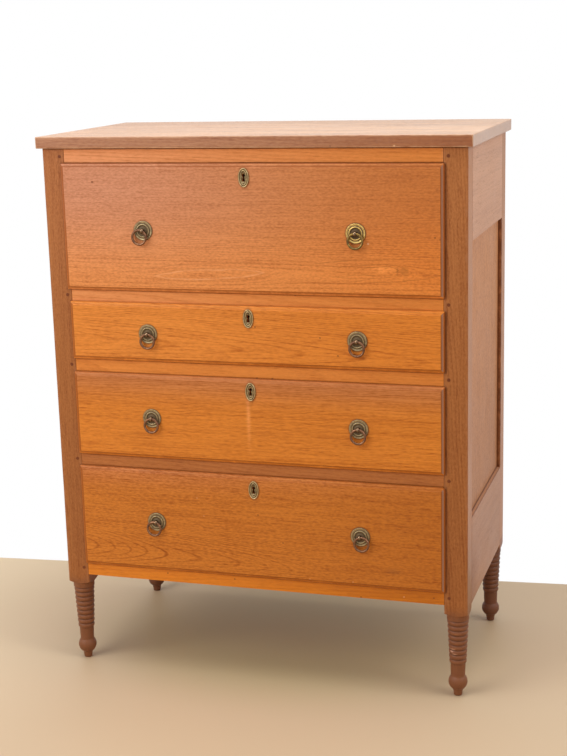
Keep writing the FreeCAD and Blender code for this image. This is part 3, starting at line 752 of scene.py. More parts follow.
def eased_board(name, low, high, easing, material):
    """A board between two corners, with arrises rounded by hand and by use, here more and there less."""
    lines = [cuts(low[axis], high[axis], easing) for axis in range(3)]
    last = [len(line) - 1 for line in lines]
    shell = bmesh.new()
    arris_layer = shell.verts.layers.float.new("arris")
    points = {}

    def by_arris(key, axis):
        return key[axis] < ROUNDED_LINES or key[axis] > last[axis] - ROUNDED_LINES

    def point(key):
        if key not in points:
            place = Vector([lines[axis][key[axis]] for axis in range(3)])
            amount = easing * (1.0 + HAND_WORK * noise.noise(place * HAND_WORK_SCALE))
            nearest = Vector([min(max(place[axis], low[axis] + amount), high[axis] - amount)
                              for axis in range(3)])
            away = place - nearest
            vertex = shell.verts.new(nearest + away.normalized() * amount if away.length > 0 else place)
            vertex[arris_layer] = 1.0 if sum(by_arris(key, axis) for axis in range(3)) > 1 else 0.0
            points[key] = vertex
        return points[key]

    for axis in range(3):
        first, second = (axis + 1) % 3, (axis + 2) % 3
        for side in (0, last[axis]):
            for i in range(last[first]):
                for j in range(last[second]):
                    keys = []
                    for step_i, step_j in ((0, 0), (1, 0), (1, 1), (0, 1)):
                        key = [0, 0, 0]
                        key[axis], key[first], key[second] = side, i + step_i, j + step_j
                        keys.append(tuple(key))
                    shell.faces.new([point(key) for key in (keys if side else reversed(keys))])
    for face in shell.faces:
        face.smooth = True
    return piece_from(shell, name, material)


# ---------------------------------------------------------------- drawer fronts

# Points round a corner and along the long and the short sides of a drawer front
CORNER_STEPS, LONG_STEPS, SHORT_STEPS = 6, 30, 8


def rounded_rectangle(half_width, half_height, radii):
    """Points round a rectangle from its upper right corner, always the same number of them."""
    corners = ((1, 1), (-1, 1), (-1, -1), (1, -1))

    def on_corner(index, quarters):
        right, up = corners[index % 4]
        radius = radii[index % 4]
        angle = math.pi / 2 * quarters
        centre = Vector((right * (half_width - radius), up * (half_height - radius)))
        return centre + radius * Vector((math.cos(angle), math.sin(angle)))

    points = []
    for index in range(4):
        points += [on_corner(index, index + step / CORNER_STEPS) for step in range(CORNER_STEPS + 1)]
        steps = SHORT_STEPS if index % 2 else LONG_STEPS
        behind = points[-1]
        ahead = on_corner(index + 1, index + 1)
        points += [behind.lerp(ahead, step / steps) for step in range(1, steps)]
    return points


# Inset from the lip's edge and depth behind the drawer's face, with the shares of wear and grime there: the
# wear also paints highlights, and the grime paints shade as well as dirt on the lip's outer edge and in its
# step
LIP_OUTLINE = (
    (1.2, 8.7, 0.0, 1.0), (0.25, 8.65, 0.0, 1.0), (0.0, 8.4, 0.0, 1.0), (0.0, 6.6, 0.0, 1.0),
    (0.0, 5.4, 0.2, 0.9), (0.12, 4.6, 0.5, 0.8), (0.6, 3.75, 0.9, 0.6), (1.5, 2.9, 1.0, 0.3),
    (2.8, 2.2, 0.8, 0.3), (4.3, 1.8, 0.3, 0.6), (5.8, 1.62, 0.0, 1.0), (6.35, 1.5, 0.0, 1.0),
    (6.5, 1.2, 0.0, 1.0), (6.55, 0.6, 0.1, 0.8), (6.75, 0.22, 0.3, 0.6), (7.2, 0.05, 0.3, 0.45),
    (8.4, 0.0, 0.1, 0.2), (12.0, 0.0, 0.0, 0.0),
)
MOULDING_WIDTH = 6.6
# How worn and how grimy the moulding is on each side, where the wear also paints highlights and the grime
# paints shade on the mouldings turned from the light: share of wear, least and most grime
MOULDING_SIDES = {"right": (0.0, 1.0, 1.0), "left": (0.1, 0.8, 1.0), "bottom": (0.1, 0.5, 0.78)}
# The same for the top of each drawer
MOULDING_TOPS = {1: (0.35, 0.25, 0.75), 2: (0.15, 0.0, 0.25), 3: (0.25, 0.0, 0.35), 4: (0.2, 0.1, 0.45)}
# On the right side, a painted highlight in the worn tone lies between these insets
HIGHLIGHT_INSETS = (2.5, 5.9)


def lip(number, low, high, corner_radii, material):
    """The part of a drawer front that overlaps the frame: its moulded edge and its face."""
    sides = {**MOULDING_SIDES, "top": MOULDING_TOPS[number]}
    middle = (low + high) / 2
    half_width = (high.x - low.x) / 2
    half_height = (high.z - low.z) / 2
    shell = bmesh.new()
    arris_layer = shell.verts.layers.float.new("arris")
    grime_and_shade_layer = shell.verts.layers.float.new("grime")
    loops = []
    for inset, depth, wear, full_grime_and_shade in LIP_OUTLINE:
        radii = [max(radius - inset, 0.7) * MM for radius in corner_radii]
        ring = rounded_rectangle(half_width - inset * MM, half_height - inset * MM, radii)
        loop = []
        for x, z in ring:
            vertex = shell.verts.new((middle.x + x, low.y + depth * MM, middle.z + z))
            gaps = {"right": half_width - x, "left": half_width + x,
                    "top": half_height - z, "bottom": half_height + z}
            side = min(gaps, key=gaps.get)
            wear_and_highlight_share, least_grime_and_shade, most_grime_and_shade = sides[side]
            grime = min(full_grime_and_shade, most_grime_and_shade)
            # The band of painted highlight on the right moulding, clear of grime
            highlighted = side == "right" and HIGHLIGHT_INSETS[0] < inset < HIGHLIGHT_INSETS[1]
            vertex[arris_layer] = 1.0 if highlighted else wear * wear_and_highlight_share
            if inset < MOULDING_WIDTH:
                grime = max(grime, least_grime_and_shade)
            vertex[grime_and_shade_layer] = 0.0 if highlighted else grime
            loop.append(vertex)
        loops.append(loop)
    for outer, inner in zip(loops, loops[1:]):
        banded(shell, outer, inner)
    shell.faces.new(loops[0])
    shell.faces.new(loops[-1])
    for face in shell.faces:
        face.smooth = len(face.verts) == 4
    return piece_from(shell, "lip", material)


def front_inside(node, lip_back, material):
    """The part of a packed drawer front inside its opening, with its sockets, groove and lock recess."""
    shell = bmesh.new()
    shell.from_mesh(frame["nodes"][node].data)
    bmesh.ops.remove_doubles(shell, verts=shell.verts, dist=SAME_PLACE)
    everything = shell.verts[:] + shell.edges[:] + shell.faces[:]
    bmesh.ops.bisect_plane(shell, geom=everything, plane_co=(0, lip_back, 0), plane_no=(0, 1, 0),
                           clear_inner=True)
    open_edges = [edge for edge in shell.edges if edge.is_boundary]
    bmesh.ops.triangle_fill(shell, edges=open_edges, use_beauty=True)
    for face in shell.faces:
        face.material_index = 0
        face.smooth = False
    piece = piece_from(shell, node + "_inside", material)
    piece.data.attributes.remove(piece.data.attributes["custom_normal"])
    return piece


def keyhole_tool(centre, y_low, y_high, material):
    """A keyhole-shaped cutter: a round top and a slot that widens downward."""
    radius, waist, flare, length = 3.5, 3.6, 6.4, 15.5
    top = length / 2 - radius
    start = math.asin(waist / 2 / radius)
    steps = 20
    outline = []
    for step in range(steps + 1):
        angle = -math.pi / 2 + start + (math.tau - 2 * start) * step / steps
        outline.append((radius * math.cos(angle), top + radius * math.sin(angle)))
    outline += [(-flare / 2, -length / 2), (flare / 2, -length / 2)]
    shell = bmesh.new()
    ends = []
    for y in (y_low, y_high):
        ends.append([shell.verts.new((centre.x + x * MM, y, centre.z + z * MM)) for x, z in outline])
        shell.faces.new(ends[-1])
    banded(shell, *ends)
    return piece_from(shell, "tool", material)


# ---------------------------------------------------------------- woods and metals of this chest

DRAWERS = (1, 2, 3, 4)
JOINTS = {joint["name"]: joint for joint in frame["joints"]}
front_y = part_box("front_rail_top")[0].y
case_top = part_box("front_rail_top")[1].z
fronts = {number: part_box("drawer_front_%d" % number) for number in DRAWERS}
rails = [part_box("front_rail_" + place) for place in ("top", "1_2", "2_3", "3_4", "bottom")]

# Planes just outside the chest: left and right, before and behind it, and under its feet
LEFT, RIGHT, BEFORE, BEHIND, BELOW = -0.5, 0.5, -0.3, 0.3, -0.1
# The planes of the marks on the drawers, on the rails, on the top's front edge, and of the broad patches
FACE, RAIL_FACE, TOP_FACE, PATCH_PLANE = -0.2277, -0.2187, -0.2272, -0.22
# A plane just behind the chest
BACK_PLANE = 0.24


def patch(x, z, width, height, colour, share, y=PATCH_PLANE, depth=1.0):
    """A broad soft patch of another tone: its place, how far it reaches each way, its tone and strength."""
    return (x, y, z), (width, depth, height), tone(*colour), share


def grain_loop(x, z, reaches, gaps, half_height, line, colour, share):
    """A line of grain on a drawer: its reaches and fading to the left and right, its height and width."""
    return (x, FACE, z), reaches, gaps, half_height, line, tone(*colour), share


# A spot is its centre, its half sizes, softness, raggedness, tone and strength

def dark_mark(x, y, z, size=2.0):
    """A small dark fleck in the wood."""
    return (x, y, z), (size * 1.3 * MM, 0.01, size * MM), 0.7, 0.4, tone(112, 58, 24), 0.8


def pale_chip(x, y, z, size=2.2):
    """A small pale chip or scratch in the finish."""
    return (x, y, z), (size * MM, 0.01, size * 0.8 * MM), 0.7, 0.5, tone(236, 186, 140), 0.75


def pull_halo(eye, share):
    """A darker ring of the wood round a pull's plate."""
    return (eye[0], FACE, eye[2]), (0.0232, 0.02, 0.0232), 0.24, 0.12, tone(128, 66, 26), share


def keyhole_halo(centre):
    """A darker patch of the wood round a keyhole plate."""
    return (centre.x, FACE, centre.z), (0.0138, 0.02, 0.0255), 0.3, 0.15, tone(150, 84, 34), 0.6


# A seam is its low and high corners, how far its tone fades in millimetres, tone and strength
# Painted shade on the rails along the lips' top and bottom edges, where the lips stand out
LIP_EDGE_SHADE_TONE = tone(122, 62, 6)
# How dark the painted shade is over each drawer and under them all, and the painted shade with dirt at their
# left and right sides, and how far back the seams at the sides reach
TOP_SEAMS = {1: 0.95, 2: 0.35, 3: 0.65, 4: 0.6}
BOTTOM_SEAM = 0.6
SIDE_SEAMS = (0.6, 0.7)
SIDE_SEAM_BACK = -0.215
# Painted shade under the top board's overhang, and a painted dark gap over the first drawer's keyhole
rail_seams = [
    ((LEFT, BEFORE, case_top - 1.4 * MM), (RIGHT, 0.0, case_top), 1.6, tone(92, 46, 12), 0.9),
    ((-0.013, BEFORE, 1.0688), (0.048, 0.0, 1.0706), 1.5, tone(50, 26, 12), 0.9),
]
# Painted shade under the top board's overhang on the posts, then painted shade with dirt beside each drawer
post_seams = [((LEFT, BEFORE, case_top - 1.2 * MM), (RIGHT, BEHIND, case_top), 1.6, tone(80, 44, 22), 0.8)]
for number, (low, high) in fronts.items():
    for bottom, top, share in ((high.z - 1.0 * MM, high.z + 0.9 * MM, TOP_SEAMS[number]),
                               (low.z - 0.8 * MM, low.z + 1.0 * MM, BOTTOM_SEAM)):
        rail_seams.append(((low.x, BEFORE, bottom), (high.x, 0.0, top), 2.2, LIP_EDGE_SHADE_TONE, share))
    for x, share in zip((low.x, high.x), SIDE_SEAMS):
        corners = ((x - 1.6 * MM, BEFORE, low.z), (x + 1.6 * MM, SIDE_SEAM_BACK, high.z))
        post_seams.append((*corners, 2.6, tone(112, 62, 34), share))
# The legs darker than the posts, and the rear legs darker still; painted shade on the rear post's strip
# beside the recessed panel; painted light on the right post's outer side, and painted shade low on it by the
# foot
leg_seam = ((LEFT, BEFORE, BELOW), (RIGHT, BEHIND, 0.165), 36.0, tone(128, 78, 50), 0.88)
rear_leg_seam = ((LEFT, 0.1, BELOW), (RIGHT, BEHIND, 0.165), 30.0, tone(104, 64, 46), 0.6)
rear_strip_shade = ((0.4, 0.16, 0.372), (0.44, 0.1875, 0.9175), 3.0, tone(100, 54, 28), 0.85)
lit_post_side = ((0.4302, BEFORE, 0.2), (0.44, BEHIND, 1.2), 0.4, tone(190, 132, 90), 0.7)
post_foot_shade = ((0.4315, -0.2, 0.17), (0.003, 0.08, 0.26), 0.8, 0.2, tone(128, 84, 50), 0.75)

rail_marks = [dark_mark(x, RAIL_FACE, z, size) for x, z, size in (
    (-0.202, 0.217, 2.0), (-0.054, 0.2165, 2.0), (0.214, 0.201, 2.0), (0.363, 0.212, 2.0),
    (0.092, 0.8145, 2.6), (-0.13, 0.671, 2.6), (0.008, 0.645, 2.6), (0.04, 0.6448, 2.6),
)] + [pale_chip(0.3025, RAIL_FACE, 0.209)]
PEG_X, PEG_STAIN = 0.3935, 0.0046
peg_spots = []
for low, high in rails:
    for side in (-1, 1):
        centre = (side * PEG_X, RAIL_FACE, (low.z + high.z) / 2)
        peg_spots.append((centre, (PEG_STAIN, 0.01, PEG_STAIN), 0.6, 0.25, tone(98, 40, 14), 0.85))
leg_low, leg_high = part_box("post_front_right")
leg_x = (leg_low.x + leg_high.x) / 2
# Painted highlights on the front right leg's rings, left of its middle
leg_highlights = []
for x, z, width in ((-9.0, 104.0, 8.0), (-4.0, 94.0, 8.0), (-10.0, 98.5, 5.0)):
    centre = (leg_x + x * MM, leg_low.y + 4.0 * MM, z * MM)
    leg_highlights.append((centre, (width * MM, 0.016, 2.6 * MM), 0.7, 0.9, tone(212, 164, 138), 0.75))

# The posts' grime tone paints shade in the leg rings' grooves, and their worn tone paints highlights on the
# rings' crests as well as wear on the square corners
POST_WOOD = wood(
    "post_wood", *around((158, 92, 42), 44), along="Z", pith=(0.1, 0.3), spacing=2.2, rings=0.25, bands=0.45,
    streaks=0.6, grime=tone(96, 56, 34), wear_and_highlight=tone(176, 114, 70), wear=0.42,
    seams=[lit_post_side] + post_seams + [leg_seam, rear_leg_seam, rear_strip_shade],
    spots=peg_spots + leg_highlights + [post_foot_shade],
    patches=[
        # Painted light: both posts lighter towards the top
        patch(0.43, 1.0, 0.5, 0.32, (176, 108, 56), 0.6, depth=0.1),
        patch(-0.41, 1.05, 0.1, 0.25, (182, 112, 62), 0.55, depth=0.1),
    ],
)

top_low, top_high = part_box("top_board")
# The top's front edge, darker and more orange than the painted sheen of its upper face, and its right end,
# paler with a painted sheen, under their eased arrises
top_edge = ((LEFT, BEFORE, 1.09), (RIGHT, top_low.y + 0.6 * MM, top_high.z - 0.6 * MM), 1.0,
            tone(147, 73, 6), 0.66)
top_end_sheen = ((top_high.x - 0.6 * MM, BEFORE, 1.09), (RIGHT, BEHIND, top_high.z - 1.0 * MM), 1.0,
           tone(196, 158, 136), 0.68)
# The top's pale tone is partly a painted sheen of the bright room on its upper face
TOP_WOOD = wood(
    "top_wood", *around((196, 145, 109), 90), pith=(0.3, 0.9), spacing=2.4, bands=1.0, flecks=0.3,
    streaks=0.9, length=2.0, speckle=0.8, wear_and_highlight=tone(206, 158, 120), roughness=0.36, gloss=0.66,
    seams=[top_edge, top_end_sheen],
    spots=[
        dark_mark(0.17, TOP_FACE, top_low.z + 3.0 * MM),
        pale_chip(0.293, TOP_FACE, top_low.z + 2.8 * MM, 3.0),
    ],
    patches=[
        patch(0.0, 1.12, 2.0, 1.0, (172, 124, 88), 0.55, y=BACK_PLANE, depth=0.2),
        # A painted sheen: the right part of the upper face lighter and creamier
        patch(0.5, 1.125, 0.7, 0.02, (200, 158, 122), 0.6, y=0.0, depth=0.5),
        patch(0.44, 1.11, 0.25, 1.0, (146, 78, 24), 0.7, y=TOP_FACE, depth=0.002),
    ],
)

AMBER_RAIL = wood(
    "amber_rail_wood", *around((221, 131, 51), 44), pith=(0.8, 0.6), spacing=3.0, streaks=0.7, speckle=0.5,
    length=2.5, seams=rail_seams, spots=rail_marks,
    patches=[
        # Painted sheen: the left ends of the top rail and of the rail under the first drawer lighter and
        # pinker
        patch(-0.4, 1.08, 0.45, 0.04, (236, 162, 118), 0.55),
        patch(-0.4, 0.8, 0.4, 0.05, (236, 158, 104), 0.5),
        patch(0.387, 1.082, 0.005, 0.03, (222, 150, 100), 0.5),
        patch(0.0, 0.2, 2.0, 0.06, (222, 126, 20), 0.8),
        patch(0.4, 0.2, 0.3, 0.06, (176, 98, 14), 0.6),
    ],
)
BROWN_RAIL = wood(
    "brown_rail_wood", *around((180, 106, 50), 40), pith=(0.8, 0.2), spacing=2.4, streaks=0.8, speckle=0.6,
    length=2.0, seams=rail_seams,
)

# The side panel stands in a groove of the lower rail, whose upper edge is a ledge, with painted shade lines
# where the panel meets it and along its arris
PANEL_GROOVE = 8.0 * MM
panel_low, panel_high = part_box("side_panel_right")
side_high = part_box("side_rails_right")[1]
ledge_z = panel_low.z + PANEL_GROOVE
ledge_shade = [
    ((panel_high.x - 0.6 * MM, BEFORE, ledge_z - 0.8 * MM), (panel_high.x + 0.8 * MM, BEHIND, ledge_z), 1.2,
     tone(92, 52, 34), 0.8),
    ((side_high.x - 0.9 * MM, BEFORE, ledge_z - 0.9 * MM), (side_high.x, BEHIND, ledge_z), 0.9,
     tone(112, 68, 50), 0.6),
]
# The side's woods are paler and pinker than the front's, partly a painted sheen; their patches paint light,
# lighter towards the top and darker towards the bottom, most at the front
SIDE_WOOD = wood(
    "side_rail_wood", *around((192, 137, 102), 36), along="Y", pith=(0.7, 0.5), spacing=2.6, roughness=0.52,
    streaks=0.6, bands=0.5, seams=ledge_shade,
    patches=[
        patch(0.43, 1.1, 2.0, 0.3, (208, 158, 128), 0.8, y=0.0, depth=2.0),
        patch(0.43, 0.26, 2.0, 0.2, (170, 122, 92), 0.8, y=0.0, depth=2.0),
        patch(0.43, 0.22, 0.5, 0.08, (158, 106, 76), 0.8, y=-0.18, depth=0.07),
    ],
)
PANEL_WOOD = wood(
    "side_panel_wood", *around((196, 133, 87), 36), along="Z", pith=(0.2, 0.2), spacing=3.0, roughness=0.55,
    # Painted shade where the panel meets the ledge
    seams=[((LEFT, BEFORE, ledge_z), (RIGHT, BEHIND, ledge_z + 0.8 * MM), 1.4, tone(92, 52, 34), 0.8)],
    # Painted shade: the panel darker towards the bottom
    patches=[patch(0.42, 0.36, 2.0, 0.28, (170, 116, 78), 0.75, y=0.0, depth=2.0)],
)

# Each drawer front is cut from its own place in a log. A lift is its centre, size and rise.
DRAWER_FIGURES = {
    1: dict(
        pith=(-0.165, 0.852), slope=0.004, spacing=2.6, waviness=3.0, width=0.4, rings=0.3, ripple=4.0,
        length=1.3, streaks=0.75, bands=0.2, flecks=0.15, speckle=1.0,
        lifts=(
            ((-0.084, FACE, 0.85), (0.11, 0.1, 0.02), -0.003),
            ((0.302, FACE, 0.867), (0.03, 0.1, 0.009), -0.006),
        ),
        patches=(
            # Painted sheen: the upper left of the first drawer paler and pinker
            patch(-0.36, 1.03, 0.42, 0.15, (200, 142, 122), 0.5),
            patch(0.4, 1.0, 0.3, 0.16, (182, 96, 26), 0.5),
            patch(-0.1, 0.84, 1.0, 0.1, (236, 144, 66), 0.5),
            patch(0.4, 0.86, 0.22, 0.1, (214, 120, 36), 0.5),
            patch(0.27, 0.869, 0.024, 0.007, (240, 158, 92), 0.5),
        ),
        spots=[dark_mark(x, FACE, z, size) for x, z, size in (
            (0.0206, 0.8833, 1.6), (-0.3214, 1.0332, 2.6), (0.3696, 0.9311, 2.0), (0.379, 0.9275, 1.6),
            (-0.2994, 1.0036, 1.3), (0.1074, 0.8751, 1.3),
        )] + [
            pale_chip(0.2408, FACE, 0.9179, 2.8),
            ((0.31, FACE, 0.8665), (0.012, 0.02, 0.014), 0.7, 1.1, tone(172, 100, 34), 0.4),
            ((0.2975, FACE, 0.8665), (0.0035, 0.02, 0.011), 0.8, 0.8, tone(150, 84, 26), 0.45),
        ],
        loop_tilt=0.05,
        loops=(
            grain_loop(-0.084, 0.8525, (112.0, 112.0), (0.0, 0.0), 9.0, 1.3, (246, 178, 124), 0.5),
            grain_loop(-0.084, 0.8525, (122.0, 124.0), (0.4, 0.4), 12.5, 1.1, (170, 92, 40), 0.3),
            grain_loop(-0.084, 0.8525, (210.0, 200.0), (1.0, 1.0), 21.0, 1.2, (170, 92, 40), 0.3),
            grain_loop(0.272, 0.8665, (60.0, 27.0), (1.0, 0.0), 8.0, 1.2, (158, 86, 26), 0.4),
            grain_loop(0.262, 0.866, (120.0, 52.0), (1.0, 0.2), 13.0, 1.2, (158, 86, 26), 0.34),
            grain_loop(0.25, 0.866, (200.0, 175.0), (1.0, 1.0), 22.0, 1.3, (158, 86, 26), 0.4),
            grain_loop(0.215, 0.852, (38.0, 42.0), (0.6, 0.6), 5.0, 1.1, (158, 86, 26), 0.32),
        ),
    ),
    2: dict(
        pith=(-0.165, 0.703), slope=0.02, tilt=-0.03, spacing=2.6, waviness=2.5, width=0.3, rings=0.4,
        streaks=1.05, length=2.2, speckle=0.55,
        spots=[dark_mark(x, FACE, z) for x, z in ((0.0101, 0.7503), (0.1423, 0.7328), (0.1778, 0.6984))],
        patches=(patch(0.3, 0.73, 0.3, 0.2, (206, 112, 18), 0.45),),
    ),
    3: dict(
        pith=(-0.12, 0.74), slope=0.008, spacing=2.6, waviness=3.0, rings=0.3, streaks=0.95, length=2.4,
        speckle=0.55, spots=[],
        patches=(
            patch(0.0, 0.638, 2.0, 0.037, (180, 108, 62), 0.7),
            patch(-0.0095, 0.565, 0.004, 0.05, (236, 150, 72), 0.8),
        ),
    ),
    4: dict(
        pith=(-0.1621, 0.2525), slope=0.045, tilt=-0.05, spacing=2.3, waviness=1.0, width=0.22, rings=0.62,
        streaks=1.1, length=1.6, speckle=0.8, fade=(-0.05, 0.15),
        lifts=(
            ((-0.2, FACE, 0.262), (0.12, 0.3, 0.3), 0.003),
            ((0.2846, FACE, 0.2636), (0.016, 0.1, 0.008), -0.004),
            ((0.2458, FACE, 0.2582), (0.01, 0.1, 0.006), -0.003),
        ),
        spots=[dark_mark(0.0553, FACE, 0.3064), dark_mark(0.0039, FACE, 0.3622)] + [
            pale_chip(x, FACE, z, size) for x, z, size in (
                (-0.1265, 0.3894, 1.6), (-0.1129, 0.3517, 1.6), (0.1104, 0.2339, 1.4), (0.2002, 0.2352, 1.6))
        ],
        patches=(
            patch(0.2846, 0.2636, 0.014, 0.006, (150, 92, 44), 0.4, y=FACE),
            patch(-0.4, 0.44, 0.6, 0.03, (196, 118, 76), 0.4),
            patch(0.42, 0.33, 0.3, 0.3, (170, 90, 18), 0.55),
        ),
    ),
}
# The average of each drawer's tones and their spread
DRAWER_TONES = {
    1: ((198, 119, 57), 52),
    2: ((216, 126, 42), 56),
    3: ((209, 119, 30), 58),
    4: ((193, 108, 26), 56),
}
# How dark the wood is round the left and the right pull of each drawer
HALO_SHARES = {1: (0.65, 0.95), 2: (0.7, 0.95), 3: (0.5, 0.85), 4: (0.8, 0.85)}
DRAWER_WOODS = {}
for number, (mean, spread) in DRAWER_TONES.items():
    plate_low, plate_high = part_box("keyhole_plate_%d" % number)
    halos = [pull_halo(JOINTS["ring_swing_%s_%d" % (side, number)]["pos_m"], share)
             for side, share in zip(SIDES, HALO_SHARES[number])]
    halos.append(keyhole_halo((plate_low + plate_high) / 2))
    DRAWER_FIGURES[number]["spots"] += halos
    # Each lip's grime tone paints shade as well as dirt, and its worn tone paints highlights as well as wear
    DRAWER_WOODS[number] = wood("drawer_wood_%d" % number, *around(mean, spread), grime=tone(157, 80, 10),
                                wear_and_highlight=tone(160, 112, 88), wear=1.0, **DRAWER_FIGURES[number])

FRONT_INSIDE = wood("front_inside_wood", *around((160, 104, 68), 40), pith=(0.1, 0.2), roughness=0.65)
# Painted shade: the keyhole's walls near black
KEYHOLE_SHADE = wood("keyhole_shade_wood", *around((24, 14, 9), 10), roughness=0.8, gloss=0.1)
INNER_ACROSS = wood("inner_wood_across", *around((196, 144, 94), 50), pith=(0.5, 0.1), spacing=4.0,
                    roughness=0.7)
INNER_DEEP = wood("inner_wood_deep", *around((198, 148, 98), 50), along="Y", pith=(0.6, 0.1), spacing=4.0,
                  roughness=0.7)
PEG_WOOD = wood("peg_wood", *around((116, 54, 20), 24), along="Y", pith=(0.0, 0.0), spacing=1.2)

BACK_BOARDS = 5
back_low, back_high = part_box("back_boards")
back_seams = []
for board in range(1, BACK_BOARDS):
    seam_z = back_low.z + (back_high.z - back_low.z) * board / BACK_BOARDS
    corners = ((LEFT, 0.2, seam_z - 0.5 * MM), (RIGHT, BEHIND, seam_z + 0.5 * MM))
    back_seams.append((*corners, 2.4, tone(58, 40, 26), 0.85))
BACK_WOOD = wood(
    "back_board_wood", *around((186, 136, 90), 60), pith=(0.5, 0.1), spacing=4.0, bands=0.8, length=2.0,
    speckle=0.8, roughness=0.7, seams=back_seams,
    patches=[
        patch(0.2, 0.42, 0.6, 0.09, (170, 122, 82), 0.6, y=BACK_PLANE),
        patch(-0.2, 0.78, 0.7, 0.09, (204, 152, 102), 0.5, y=BACK_PLANE),
        patch(0.0, 1.08, 1.0, 0.06, (160, 112, 74), 0.5, y=BACK_PLANE),
    ],
)

AGED_BRASS = brass("aged_brass", tone(170, 150, 112), tone(100, 80, 54), amount=0.42, metal=0.8)
BALL_BRASS = brass("ball_brass", tone(132, 108, 84), tone(72, 52, 38), amount=0.3, roughness=0.14)
RING_BRASS = brass("ring_brass", tone(152, 112, 84), tone(92, 59, 42), amount=0.42, roughness=0.24)
GOLD_RING_BRASS = brass("gold_ring_brass", tone(158, 130, 72), tone(88, 66, 36), amount=0.42, roughness=0.26)
BRIGHT_BRASS = brass("bright_brass", tone(216, 182, 110), tone(92, 70, 46), amount=0.3)
KEYHOLE_BRASS = brass("keyhole_brass", tone(200, 176, 130), tone(104, 84, 54), amount=0.4)
LOCK_BRASS = brass("lock_brass", tone(120, 96, 56), tone(60, 46, 30), amount=0.6)
STEEL = steel("dark_steel")


# ---------------------------------------------------------------- the case

# Heights on the leg: its lowest and highest ring, and its top
RINGS_LOW, RINGS_HIGH, LEG_TOP = 69.96, 163.8, 175.5
GROOVE_DEPTH = 2.2
# The leg's radius at its lowest ring, what it gains up to the highest, and the collar over the rings
RINGS_RADIUS, RINGS_GAIN, COLLAR_RADIUS = 17.3, 4.5, 22.4
# How far the shoulder widens and rises from the collar, and where the square begins to bound the post
SHOULDER_WIDTH, SHOULDER_HEIGHT, SQUARE_START = 10.9, 5.5, 4.0
BALL_STEPS, RING_ROWS, SHOULDER_STEPS, SQUARE_ROWS = 16, 108, 8, 40


def leg_and_post_outline(top):
    """Half outline of a post: foot, ball, taper, rings, collar, shoulder and the square above them."""
    ball_centre, ball_radius, neck, taper_radius = 30.0, 19.25, 10.2, 14.5
    low = ball_centre - math.sqrt(ball_radius ** 2 - neck ** 2)
    high = ball_centre + math.sqrt(ball_radius ** 2 - taper_radius ** 2)
    points = [(0.0, 0.0), (6.4, 0.0), (7.2, 0.2), (8.0, 0.9), (8.5, 2.2), (8.8, 4.0), (9.3, 9.0),
              (10.0, low - 2.0), (10.2, low - 0.6)]
    start, end = [math.asin((level - ball_centre) / ball_radius) for level in (low, high)]
    for step in range(BALL_STEPS + 1):
        angle = start + (end - start) * step / BALL_STEPS
        points.append((ball_radius * math.cos(angle), ball_centre + ball_radius * math.sin(angle)))
    points += [(14.4, high + 1.0), (14.5, high + 6.0), (14.9, high + 14.0), (15.1, RINGS_LOW - 0.4)]
    for step in range(RING_ROWS + 1):
        share = step / RING_ROWS
        points.append((RINGS_RADIUS + share * RINGS_GAIN, RINGS_LOW + share * (RINGS_HIGH - RINGS_LOW)))
    points += [(20.2, RINGS_HIGH + 0.15), (21.6, RINGS_HIGH + 0.4), (22.2, RINGS_HIGH + 1.0),
               (22.3, RINGS_HIGH + 2.0), (22.3, LEG_TOP - 1.5), (22.2, LEG_TOP - 0.5),
               (COLLAR_RADIUS, LEG_TOP)]
    for step in range(1, SHOULDER_STEPS + 1):
        share = step / SHOULDER_STEPS
        points.append((COLLAR_RADIUS + SHOULDER_WIDTH * share, LEG_TOP + SHOULDER_HEIGHT * share))
    beyond = 60.0
    square_low = LEG_TOP + SHOULDER_HEIGHT + 0.4
    square_high = top - 1.0
    for step in range(SQUARE_ROWS + 1):
        points.append((beyond, square_low + (square_high - square_low) * step / SQUARE_ROWS))
    points += [(beyond, top - 0.5), (beyond, top), (0.0, top)]
    return [(radius * MM, 0.0, height * MM) for radius, height in points]


def make_posts():
    for place in ("front_left", "front_right", "rear_left", "rear_right"):
        name = "post_" + place
        low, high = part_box(name)
        middle = (low + high) / 2
        piece = new_piece(name + "_turned", outline_mesh(name, leg_and_post_outline(high.z / MM)))
        shaped_by(piece, POST_TURNING, {
            "Half Width": (high.x - low.x) / 2,
            "Rings Low": RINGS_LOW * MM,
            "Rings High": RINGS_HIGH * MM,
            "Groove Depth": GROOVE_DEPTH * MM,
            "Shoulder": (LEG_TOP + SQUARE_START) * MM,
            "Material": POST_WOOD,
        })
        piece.data.transform(Matrix.Translation((middle.x, middle.y, 0.0)))
        settled(piece, "case", "case_wood", name)


TOP_EASING = 1.5 * MM
# The nodes of the case that keep their own meshes
CASE_FINISHES = {
    "front_rail_top": AMBER_RAIL, "front_rail_1_2": AMBER_RAIL, "front_rail_2_3": AMBER_RAIL,
    "front_rail_3_4": BROWN_RAIL, "front_rail_bottom": AMBER_RAIL,
    "side_rails_left": SIDE_WOOD, "side_rails_right": SIDE_WOOD,
    "side_panel_left": PANEL_WOOD, "side_panel_right": PANEL_WOOD,
    "rear_rails": INNER_ACROSS, "back_boards": BACK_WOOD, "drawer_runners": INNER_DEEP,
    "drawer_guides": INNER_DEEP, "joint_pegs": PEG_WOOD, "top_screws": STEEL,
}


def make_case():
    make_posts()
    board = eased_board("top_board_eased", top_low, top_high, TOP_EASING, TOP_WOOD)
    settled(board, "case", "top_wood", "top_board")
    for node, material in CASE_FINISHES.items():
        finished(node, material)


# ---------------------------------------------------------------- drawers and their fittings

# The lip's corners are nearly sharp, but for the last drawer's upper right one, which is worn round
CORNER_RADIUS, WORN_CORNER_RADIUS = 2.5, 7.0
# The part of a front inside its opening begins this far before the rails
INSIDE_START = 0.15 * MM
# How far a keyhole's cutter reaches past a lip's face and past a plate
FACE_CUT, PLATE_CUT = 20.0 * MM, 10.0 * MM


